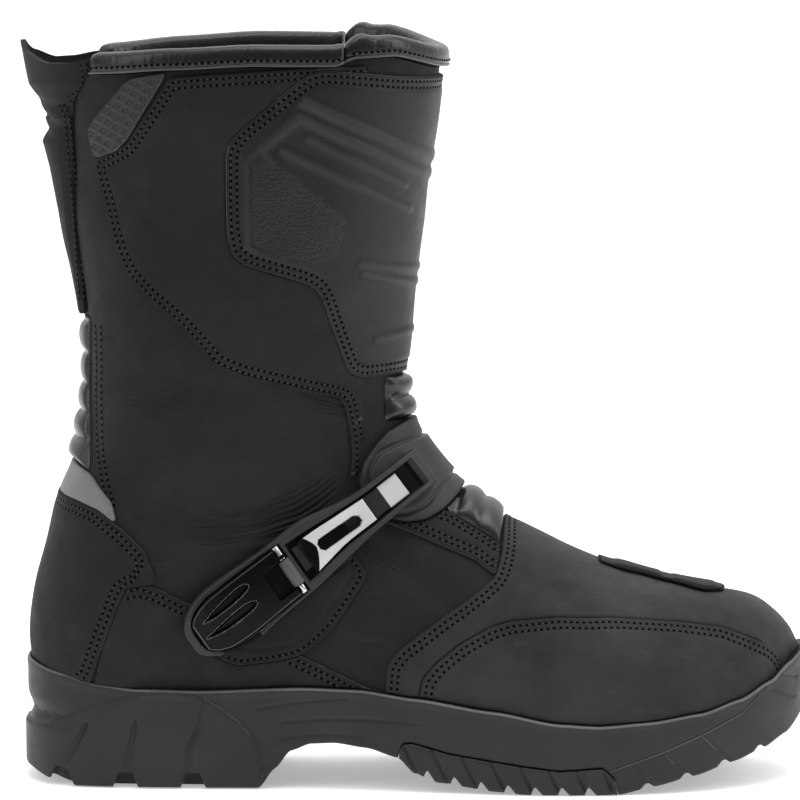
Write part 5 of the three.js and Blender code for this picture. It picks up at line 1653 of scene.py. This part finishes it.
def insole_piece():
    """The insole: a thin pad on the sole's floor, as wide as the foot is there."""
    x = np.linspace(*insole_ends, 150)
    low = floor_z(x) + gap
    top = low + insole_thickness
    ends = []
    for side in (-1, 1):
        u, a = side_spot(x, top)
        p = offset(u, on_side(a, side), np.full(len(x), -wall - 2.5 * gap))
        ends.append(p[:, 1])
    good = (ends[0] < -9) & (ends[1] > 9)
    x, low, top, left, right = (v[good] for v in (x, low, top, *ends))
    t = np.linspace(0, 1, 24)
    y = left[:, None] + (right - left)[:, None] * t
    dish = insole_dish * (np.abs(2 * t - 1) ** 3)[None, :]
    across = np.broadcast_to(x[:, None], y.shape)
    rows_top = np.stack([across, y, top[:, None] - insole_dish + dish], axis=-1)
    rows_low = rows_top[:, ::-1].copy()
    rows_low[..., 2] = low[:, None] + 0.15
    grid = np.concatenate([rows_top, rows_low], axis=1)
    piece = Piece()
    piece.grid(grid, around=True)
    piece.fan(grid[0], flip=True)
    piece.fan(grid[-1])
    return piece


insole_piece().finish("insole.skin", ("insole",), "foam", (lining_look,))

# Collar: the section of its padded roll, in shares of its thickness and height
roll_rows = np.array([
    (-0.55, 0.02), (-0.58, 0.4), (-0.48, 0.85), (-0.15, 1.0), (0.15, 0.98), (0.36, 0.8), (0.42, 0.4),
    (0.36, 0.1), (0.22, 0.02), (-0.35, 0.02),
])
# The roll's height over the rim, and the half angles of the front length and of the rear opening
collar_seat = 0.1
front_half = 1.12
rear_half = 0.62
# Piping along the roll's lower edge: radius, height over the roll's seat, and place in its thickness
piping_radius = 0.55
piping_rise = 0.7
piping_share = 0.37


def collar_frame(a):
    """Points halfway up the collar, and their level outward directions."""
    u = level_of(a, lambda x: shaft_top(x) + collar_height / 2)
    p = surface(u, a)
    out = normal(u, a)
    out[:, 2] = 0
    return p, unit(out)


def collar_piece(name, start, end, count, ends=0.35, tuck_length=4.0, swell=0.0):
    """One length of the roll, tucked in to a share of its section at its ends, swollen just inside them."""
    p, out = collar_frame(np.linspace(start, end, count))
    profile = closed_curve(roll_rows, 4)
    run = run_along(p)
    from_end = np.minimum(run, run[-1] - run)
    tuck = np.clip(from_end / tuck_length, 0, 1)
    tuck = ends + (1 - ends) * np.sqrt(1 - (1 - tuck) ** 2)
    crinkle = 0.016 * np.sin(run * 1.1) * np.sin(run * 0.37) + 0.008 * np.sin(run * 2.3 + 1.0)
    w = profile[None, :, 0] * (tuck * (1 + crinkle))[:, None]
    h = 0.5 + (profile[None, :, 1] - 0.5) * (tuck * (1 + 0.5 * crinkle))[:, None]
    h = h * (0.98 + 0.02 * tuck + swell * np.exp(-(((from_end - 7.0) / 3.5) ** 2)))[:, None]
    rim = shaft_top(p[:, 0])
    z = rim[:, None] + collar_seat + h * (collar_height - collar_seat)
    flat = p[:, None, :2] + out[:, None, :2] * w[..., None] * collar_thickness
    grid = np.concatenate([flat, z[..., None]], axis=-1)
    piece = Piece()
    piece.grid(grid, around=True)
    piece.fan(grid[0], flip=True)
    piece.fan(grid[-1])
    stitch = np.column_stack([p[:, :2] + out[:, :2] * 0.425 * collar_thickness, rim + 0.3 * collar_height,
                              out])
    sew(piece, [stitch[3:-3]], 1, 2, 0.1)
    reach = piping_share * collar_thickness * (0.6 + 0.4 * tuck)
    centre = np.column_stack([p[:, :2] + out[:, :2] * reach[:, None], rim + collar_seat + piping_rise])
    piece.grid(circles(centre, out, straight_up(out), piping_radius, 8), around=True, material=3)
    piece.finish(name + ".skin", (name,), "soft_leather",
                           (soft_look, thread_look, hole_shade_look, piping_look))


collar_piece("collar_front", math.pi - front_half, math.pi + front_half, 170, tuck_length=10.0, swell=0.16)
collar_piece("collar_roll_lateral", rear_half, math.pi - front_half - 0.01, 150, ends=0.75)
collar_piece("collar_roll_medial", math.pi + front_half + 0.01, 2 * math.pi - rear_half, 110, ends=0.75)

# Rear tab: height, stand-off and half angle of its rows
flap_reach = 16.0
flap_thickness = 2.0
flap_rows = np.array([
    (0.634, 0.02, 0.2), (0.7, 0.05, 0.26), (0.77, 0.17, 0.28), (0.83, 0.34, 0.3), (0.868, 0.48, 0.31),
    (0.888, 0.28, 0.31), (0.925, 0.46, 0.39), (0.948, 0.7, 0.51), (0.985, 0.82, 0.6),
])
# Outline of the strip over the rear opening, and the seam of the flap above it: x and z in millimetres
strip_outline = np.array([
    (-40, 258.0), (13.5, 261.0), (17.0, 265.5), (21.0, 266.0), (22.9, 262.5), (23.5, 257.0), (24.6, 245.0),
    (25.8, 229.6), (27.0, 208.0), (28.1, 187.0), (28.0, 150.0), (-40, 150.0),
])
seam_rows_apart = (-1.2, 1.2)
flap_seam = np.array([(28.0, 282.5), (28.6, 279.0), (28.4, 275.0), (26.0, 271.0), (21.5, 268.6)])


def shifted(line, by):
    """The line moved sideways by so many millimetres."""
    return line + unit(left_of(np.gradient(line, axis=0))) * by


def lie_on(line, points, normals):
    """Positions and normals on a surface's points, straight behind a line in the side view."""
    t = np.linspace(0, 1, 9)[:-1, None]
    path = np.vstack([line[i] * (1 - t) + line[i + 1] * t for i in range(len(line) - 1)])
    k = ((points[None, :, [0, 2]] - path[:, None]) ** 2).sum(axis=2).argmin(axis=1)
    return np.concatenate([path[:, :1], points[k][:, 1:2], path[:, 1:], normals[k]], axis=1)


# The flap's upper edge: height over its half width, and the rows from which it is drawn up to that
flap_top = [(0.0, 1.006), (0.3, 0.99), (0.6, 0.977), (0.8, 0.977), (1.0, 0.982)]
flap_climb = (0.948, 0.985)
# Weights that ease the rows' stand-off and half angle
flap_easing = [0.15, 0.2, 0.3, 0.2, 0.15]
# Steps from one row to the next, and columns across
flap_steps = 18
flap_columns = 101


def rear_tab_piece():
    """The tab over the rear opening, with its flap standing off at the top."""
    t = np.linspace(0, len(flap_rows) - 1, (len(flap_rows) - 1) * flap_steps + 1)
    row = np.stack([np.interp(t, np.arange(len(flap_rows)), flap_rows[:, k]) for k in range(3)], axis=1)
    for k in (1, 2):
        row[:, k] = np.convolve(np.pad(row[:, k], 2, mode="edge"), flap_easing, "valid")
    side = np.linspace(-1, 1, flap_columns)
    z, stand, half = row[:, 0][:, None], row[:, 1][:, None], row[:, 2][:, None]
    climb = smoothstep(row[:, 0], *flap_climb)[:, None]
    z = z + climb * (height_at(flap_top, np.abs(side))[None, :] - flap_climb[1])
    a = side[None, :] * half
    shape = a.shape
    goal = np.broadcast_to(z, shape) * boot_height
    u = level_of(a.ravel(), lambda x: goal.ravel()).reshape(shape)
    lift = gap + stand * flap_reach * (1 - side[None, :] ** 2)
    crumple = 0.35 * np.sin(goal * 0.9 + 6 * side) * np.exp(-(((goal - 0.9 * boot_height) / 9) ** 2))
    hem = np.minimum(1 - np.abs(side[None, :]), (goal / boot_height - 0.62) * 12) * 14
    thick = flap_thickness * (0.3 + 0.7 * smoothstep(hem, 0.0, 3.0))
    thick = thick - 0.2 * np.exp(-(((hem - 2.4) / 0.5) ** 2))
    lift = np.maximum(lift + crumple, gap)
    base, out = surface(u, a), normal(u, a)
    inner = base + out * lift[..., None]
    outer = base + out * (lift + thick)[..., None]
    flat = outer[..., [0, 2]].reshape(-1, 2)
    edge = line_distance(flat, strip_outline)
    within = inside(flat, strip_outline)
    up = np.where(within, 0.55 * smoothstep(edge, 0.0, 0.5), -0.45 * np.exp(-((edge / 0.6) ** 2)))
    for by in seam_rows_apart:
        up = up - 0.22 * np.exp(-((line_distance(flat, shifted(flap_seam, by)) / 0.55) ** 2))
    outer = outer + out * up.reshape(goal.shape)[..., None]
    piece = Piece()
    piece.grid(outer, flip=True)
    piece.grid(inner, material=1)
    border_rows = [np.stack([outer[0], inner[0]]), np.stack([inner[-1], outer[-1]]),
                   np.stack([inner[:, 0], outer[:, 0]]), np.stack([outer[:, -1], inner[:, -1]])]
    for strip in border_rows:
        piece.grid(strip)
    # stitching on both sides: along the flap's seam and inside the strip's front edge
    for half_of in (side < 0, side > 0):
        points, normals = outer[:, half_of].reshape(-1, 3), out[:, half_of].reshape(-1, 3)
        lines = [shifted(flap_seam, by) for by in seam_rows_apart]
        lines += [strip_outline[3:-2] - (by, 0) for by in (1.3, 3.3)]
        sew(piece, [lie_on(line, points, normals) for line in lines], 2, 3, 0.1)
    return piece


rear_tab_piece().finish("rear_tab.skin", ("rear_tab",), "nubuck",
                        (nubuck_look, lining_look, thread_look, hole_shade_look))

# Buckle: s runs along it as a share of its length, w across it in millimetres. Heights are in millimetres
# over its bed, which lies on the leather at the rear end and on the ankle pad's middle at the front end
buckle_length = 106.0
buckle_width = 26.0
buckle_start = np.array([0.224 * sole_length, 0.214 * boot_height])
buckle_end = np.array([0.503 * sole_length, 0.42 * boot_height])
bed_low = gap + panel_thickness + 2 * gap
bed_high = gap + pad_thickness * pad_rise + 4 * gap
tray_floor = 1.3
tray_height = 4.6
lever_floor = tray_floor + gap
lever_height = 7.4
pin_place = 0.415
pin_height = 4.4
pin_radius = 1.4
roller_radius = 2.45
strap_thickness = 1.5
latch_floor = lever_floor + strap_thickness + gap
latch_thickness = 2.4
# Columns of the strips' undersides
under_columns = 7


def buckle_frame(s):
    """Points on the boot along the buckle's middle line, with directions out, across and along."""
    direction = (buckle_end - buckle_start) / np.linalg.norm(buckle_end - buckle_start)

    def spot(s):
        at = buckle_start + direction * (np.asarray(s)[..., None] * buckle_length)
        u, a = side_spot(at[..., 0], at[..., 1])
        return surface(u, a), normal(u, a)

    point, out = spot(s)
    along = unit(spot(s + 0.03)[0] - spot(s - 0.03)[0])
    across = unit(np.cross(along, out))
    across = np.where(across[..., 2:] < 0, -across, across)
    return point, unit(out - along * (out * along).sum(axis=-1, keepdims=True)), across, along


def bed(s):
    """Height of the buckle's bed over the boot."""
    return bed_low + (bed_high - bed_low) * smoothstep(s, 0.64, 0.78)


def strip_edges(rows, s):
    """Upper and lower edges of a strip at s, in millimetres, from rows of s, up and low."""
    rows = np.array(rows)
    return tuple(np.interp(s, rows[:, 0], rows[:, k]) * buckle_width for k in (1, 2))


def eased(rows, passes=2):
    """The same strip with its outline's corners eased."""
    rows = np.array(rows, float)
    for _ in range(passes):
        a, b = rows[:-1], rows[1:]
        cut = np.stack([0.75 * a + 0.25 * b, 0.25 * a + 0.75 * b], axis=1).reshape(-1, 3)
        rows = np.vstack([rows[:1], cut, rows[-1:]])
    return rows


def depth_in(rows, s, w):
    """How far a place lies inside a strip, in millimetres; negative outside."""
    up, low = strip_edges(rows, s)
    from_ends = np.minimum(s - rows[0][0], rows[-1][0] - s) * buckle_length
    return np.minimum(np.minimum(up - w, w - low), from_ends)


def strip_piece(name, rows, bottom, top, slot, materials, count=(150, 40), ease=0.8, paint=None):
    """A solid over a strip of the buckle; its top is a function of s, w and the depth inside its edge."""
    rows = eased(rows)
    s = np.linspace(rows[0, 0], rows[-1, 0], count[0])
    s = np.concatenate([[s[0]] * 2, s[1:-1], [s[-1]] * 2])
    up, low = strip_edges(rows, s)
    t = np.linspace(0, 1, count[1])
    t = t - 0.05 * np.sin(2 * math.pi * t)
    t = np.concatenate([[0, 0], t[1:-1], [1, 1]])
    w = low[:, None] + (up - low)[:, None] * t[None, :]
    ss = np.broadcast_to(s[:, None], w.shape)
    inside_by = depth_in(rows, ss, w)
    h = top(ss, w, inside_by) - rounded_off(inside_by, ease)
    h[0], h[-1], h[:, 0], h[:, -1] = bottom, bottom, bottom, bottom
    point, out, across, _ = buckle_frame(s)

    def laid(height):
        over = (bed(s)[:, None] + height)[..., None]
        return point[:, None] + across[:, None] * w[..., None] + out[:, None] * over

    piece = Piece()
    piece.grid(laid(h), flip=True)
    if paint is not None:
        at = [0.25 * (v[:-1, :-1] + v[1:, :-1] + v[:-1, 1:] + v[1:, 1:]) for v in (ss, w)]
        piece.slots[-1] = paint(*at, depth_in(rows, *at)).astype(int).ravel()
    columns = np.linspace(0, w.shape[1] - 1, under_columns).astype(int)
    piece.grid(laid(bottom)[:, columns])
    piece.finish(name + ".skin", (name,), slot, materials)


# Outlines along the buckle: s, upper and lower edge in shares of its width
tray_rows = [
    (-0.034, 0.0, -0.2), (-0.03, 0.1, -0.29), (-0.015, 0.2, -0.37), (0.01, 0.3, -0.45),
    (0.045, 0.38, -0.53), (0.1, 0.445, -0.605), (0.18, 0.46, -0.635), (0.28, 0.45, -0.57),
    (0.38, 0.44, -0.54), (0.48, 0.47, -0.51), (0.55, 0.475, -0.46), (0.63, 0.4, -0.415),
    (0.74, 0.31, -0.335), (0.86, 0.31, -0.31), (0.985, 0.31, -0.305),
]
lever_pocket = [
    (0.0, 0.04, -0.2), (0.004, 0.12, -0.29), (0.02, 0.21, -0.375), (0.045, 0.28, -0.44),
    (0.075, 0.325, -0.485), (0.11, 0.36, -0.51), (0.2, 0.37, -0.52), (0.3, 0.37, -0.49),
    (0.434, 0.37, -0.465),
]
channel = [
    (0.45, 0.3, -0.38), (0.55, 0.28, -0.32), (0.64, 0.25, -0.27), (0.74, 0.225, -0.25),
    (0.86, 0.225, -0.225), (0.955, 0.225, -0.22),
]
lever_slack = gap / buckle_width
lever_rows = [(min(max(s, 0.006), 0.43), up - lever_slack, low + lever_slack) for s, up, low in lever_pocket]
lever_window = [(0.325, 0.15, -0.335), (0.46, 0.15, -0.335)]
scoops = [
    [(0.05, 0.09, 0.07), (0.1, 0.15, 0.045), (0.16, 0.195, 0.045), (0.22, 0.22, 0.065), (0.25, 0.205, 0.095),
     (0.262, 0.165, 0.135)],
    [(0.03, -0.13, -0.155), (0.08, -0.095, -0.195), (0.14, -0.06, -0.215), (0.21, -0.05, -0.21),
     (0.24, -0.075, -0.185), (0.253, -0.115, -0.15)],
]
corner_notches = [[(0.4, 0.4, 0.215), (0.44, 0.4, 0.215)], [(0.4, -0.315, -0.5), (0.44, -0.315, -0.5)]]
side_notch = [(0.045, -0.42, -0.7), (0.2, -0.5, -0.7)]


# Depths inside an outline between which a cut-out's side falls, in millimetres
cut_side = (-0.12, 0.12)


def cut_down(h, rows, floor, s, w):
    """Heights cut down to a floor inside an outline."""
    return h - (h - floor) * smoothstep(depth_in(rows, s, w), *cut_side)


# The tray's notch beside the pocket, and the fine line round it: depths, and the line's distance and width
notch_depth = 2.6
tray_line_depth = 0.2
tray_line_inset = 1.6
tray_line_width = 0.25
# The lever: how much lower its rim and its tip are, and the depth of its scoops
lever_fall = 0.6
tip_fall = 1.6
scoop_depth = 1.7
scoop_lip = 0.16


def tray_top(s, w, edge):
    """The tray: a raised rim round the lever's pocket and the strap's channel, with a fine line along it."""
    h = np.full(s.shape, tray_height)
    h = h + 0.5 * smoothstep(s, 0.5, 0.6) * (1 - smoothstep(s, 0.9, 0.98))
    for rows in (lever_pocket, channel):
        h = cut_down(h, rows, tray_floor, s, w)
    h = h - notch_depth * smoothstep(depth_in(side_notch, s, w), -0.1, 0.2)
    line = np.abs(edge - tray_line_inset)
    return h - tray_line_depth * np.exp(-((line / tray_line_width) ** 2)) * (s > 0.02)


def lever_top(s, w, edge):
    """The lever: crowned, low at its tip, with two scoops, a window for its pin and notched corners."""
    crown = 0.5 * (1 - ((w + 2.0) / 12) ** 2)
    h = lever_height - lever_fall + crown - tip_fall * (1 - smoothstep(s, 0.0, 0.09))
    for rows in scoops:
        d = depth_in(rows, s, w)
        h = h - scoop_depth * smoothstep(d, -0.1, 1.1) + scoop_lip * np.exp(-((d / 0.22) ** 2))
    for rows in (lever_window, *corner_notches):
        h = cut_down(h, rows, lever_floor + 0.2, s, w)
    return h


def tray_painted_shade(s, w, edge):
    """Painted shade: dark inside the lever's pocket, the strap's channel and the notch beside them."""
    return np.max([depth_in(rows, s, w) > 0.2 for rows in (lever_pocket, channel, side_notch)], axis=0)


def lever_paint(s, w, edge):
    """Thin pale lines round the scoops and along the lever's rim."""
    lines = np.abs(edge - 0.75) < 0.14
    for rows in scoops:
        lines |= np.abs(depth_in(rows, s, w)) < 0.17
    return lines & (s < 0.4)


strip_piece("buckle_tray", tray_rows, 0.0, tray_top, "moulded_rubber", (pad_look, hard_look),
            count=(300, 100), ease=1.1, paint=tray_painted_shade)
strip_piece("buckle_lever", lever_rows, lever_floor, lever_top, "hard_plastic", (hard_look, lever_line_look),
            count=(230, 100), ease=0.7, paint=lever_paint)

# Where the strap's painted reflection, a bright saddle, starts and ends
reflection_from, reflection_to = 0.822, 0.895


def strap_top(s, w, edge):
    """The strap: finely woven, with a smooth plate standing on it."""
    plate = smoothstep(s, reflection_from - 0.004, reflection_from)
    plate = plate * (1 - smoothstep(s, reflection_to, reflection_to + 0.004))
    weave = 0.12 * np.sin(s * buckle_length * 5.0) * np.sin(w * 5.0)
    return strap_thickness + lever_floor - 0.15 + 0.55 * plate + weave * (1 - plate)


def strap_painted_reflection(s, w, edge):
    """A painted reflection, bright, on the plate."""
    return (s > reflection_from) & (s < reflection_to)


strap_rows = [
    (0.46, 0.19, -0.22), (0.55, 0.19, -0.21), (0.64, 0.19, -0.2), (0.74, 0.19, -0.2), (0.82, 0.19, -0.19),
    (0.9, 0.19, -0.19),
]
strip_piece("ladder_strap", strap_rows, lever_floor, strap_top, "gloss_plastic", (strap_look, reflection_look),
            count=(200, 50), ease=0.4, paint=strap_painted_reflection)

latch_rows = [(0.49, 0.22, -0.33), (0.56, 0.22, -0.28), (0.64, 0.2, -0.22), (0.76, 0.18, -0.2)]
latch_slot = [(0.545, 0.01, -0.075), (0.56, 0.075, -0.14), (0.705, 0.06, -0.145), (0.724, 0.0, -0.085)]


def latch_top(s, w, edge):
    """The latch: higher at its ends, with a slot sunk into it."""
    dish = 0.9 * np.cos((s - 0.49) / 0.235 * math.pi) ** 2
    h = latch_floor + latch_thickness - 0.9 + dish - 0.5 * (1 - (np.abs(w + 1.2) / 6.5) ** 2)
    return h - 1.5 * smoothstep(depth_in(latch_slot, s, w), -0.1, 0.4)


def latch_painted_reflection(s, w, edge):
    """Dark in the slot and at the end by the lever, with a painted reflection, bright, elsewhere."""
    return (depth_in(latch_slot, s, w) < 0.3) & (s > 0.54 - 0.025 * np.abs(w / 6.0) ** 1.5)


strip_piece("strap_latch", latch_rows, latch_floor, latch_top, "gloss_plastic", (hard_look, reflection_look),
            count=(200, 100), ease=0.5, paint=latch_painted_reflection)


def pin_piece():
    """The lever's cross pin, bright at its ends, and its knurled roller."""
    piece = Piece()
    point, out, across, along = (v[0] for v in buckle_frame(np.array([pin_place])))
    centre = point + out * (bed(np.array([pin_place]))[0] + pin_height)
    turn = np.linspace(0, 2 * math.pi, 49)[:-1]
    for rows, material, knurl in (
        ([(0.365, 0.0), (0.365, 0.9), (0.36, 1.0), (0.145, 1.0)], 0, 0),
        ([(0.13, 0.3), (0.13, 0.9), (0.118, 1.0), (-0.303, 1.0), (-0.315, 0.9), (-0.315, 0.3)], 1, 1),
        ([(-0.33, 1.0), (-0.45, 1.0), (-0.455, 0.9), (-0.455, 0.0)], 0, 0),
    ):
        radius = roller_radius if material else pin_radius
        ring = []
        for w, share in rows:
            r = radius * share * (1 + 0.02 * knurl * np.sign(np.sin(turn * 16)))
            ring.append(centre + across * w * buckle_width + np.sin(turn)[:, None] * r[:, None] * out
                        + np.cos(turn)[:, None] * r[:, None] * along)
        piece.grid(np.array(ring), around=True, material=material)
        piece.fan(ring[0], material=material)
        piece.fan(ring[-1], flip=True, material=material)
    return piece


pin_piece().finish("buckle_pin.skin", ("buckle_pin",), "gloss_plastic", (steel_look, roller_look))


# The world, brighter overhead and behind the boot than in front of it
scene = bpy.context.scene
scene.view_settings.view_transform = "Standard"
world = scene.world or bpy.data.worlds.new("studio")
scene.world = world
world.use_nodes = True
background = world.node_tree.nodes["Background"].inputs
sky = Shader(world.node_tree, "Generated")
_, sky_y, sky_z = sky.split()
behind = sky.remap(sky_y, -0.5, 0.8, 0.16, 0.8)
overhead = sky.remap(sky_z, 0.1, 0.9, 0.0, 0.8)
sky.feed(background["Strength"], sky.sums("ADD", behind, overhead))
background["Color"].default_value = (1.0, 1.0, 1.0, 1)

# The floor: paper with painted light: its colour and a painted glow are brightest where the boot stands and
# behind it, and fall off towards the camera
floor_half = 14.0
floor_drop = 0.0003
floor_look, paper, floor_inputs = new_look("floor paper")
floor_inputs["Roughness"].default_value = 0.7
floor_inputs["Emission Color"].default_value = (1.0, 1.0, 1.0, 1)
lit = paper.remap(paper.split()[1], -1.1, -0.14, 0.0, 1.0)
paper.feed(floor_inputs["Base Color"], paper.blend(lit, (0.3, 0.3, 0.3), (0.93, 0.93, 0.93)))
paper.feed(floor_inputs["Emission Strength"], paper.remap(lit, 0.0, 1.0, 0.0, 0.36))
floor_signs = ((-1, -1), (1, -1), (1, 1), (-1, 1))
floor_corners = [(x * floor_half, y * floor_half, -floor_drop) for x, y in floor_signs]
floor_mesh = bpy.data.meshes.new("floor")
floor_mesh.from_pydata(floor_corners, [], [(0, 1, 2, 3)])
floor_mesh.materials.append(floor_look)
floor = bpy.data.objects.new("floor", floor_mesh)
scene.collection.objects.link(floor)


def soft_light(name, place, size, power, target=(0, 0, 0.13)):
    """A wide lamp that faces the boot; places and sizes in metres, power in watts."""
    data = bpy.data.lights.new(name, "AREA")
    data.shape = "RECTANGLE"
    data.size, data.size_y = size
    data.energy = power
    lamp = bpy.data.objects.new(name, data)
    scene.collection.objects.link(lamp)
    lamp.location = place
    lamp.rotation_euler = (Vector(target) - Vector(place)).to_track_quat("-Z", "Y").to_euler()


soft_light("top_box", (0.15, -0.25, 1.5), (1.3, 0.9), 9)
soft_light("left_box", (-1.25, -0.75, 0.75), (0.5, 1.1), 3.8)
soft_light("right_box", (1.35, -0.35, 0.8), (0.5, 1.1), 6)

# The camera keeps the photo's angle, in degrees above level; its distance is in metres
camera_angle = 6.8
camera_distance = 2.2
camera_data = bpy.data.cameras.new("camera")
camera_data.lens = 250.6
camera_data.sensor_width = 36
camera = bpy.data.objects.new("camera", camera_data)
scene.collection.objects.link(camera)
scene.camera = camera
aim = Vector((-0.00633, 0, 0.1484))
lift = math.radians(camera_angle)
camera.location = aim + Vector((0, -math.cos(lift), math.sin(lift))) * camera_distance
camera.rotation_euler = (aim - camera.location).to_track_quat("-Z", "Y").to_euler()
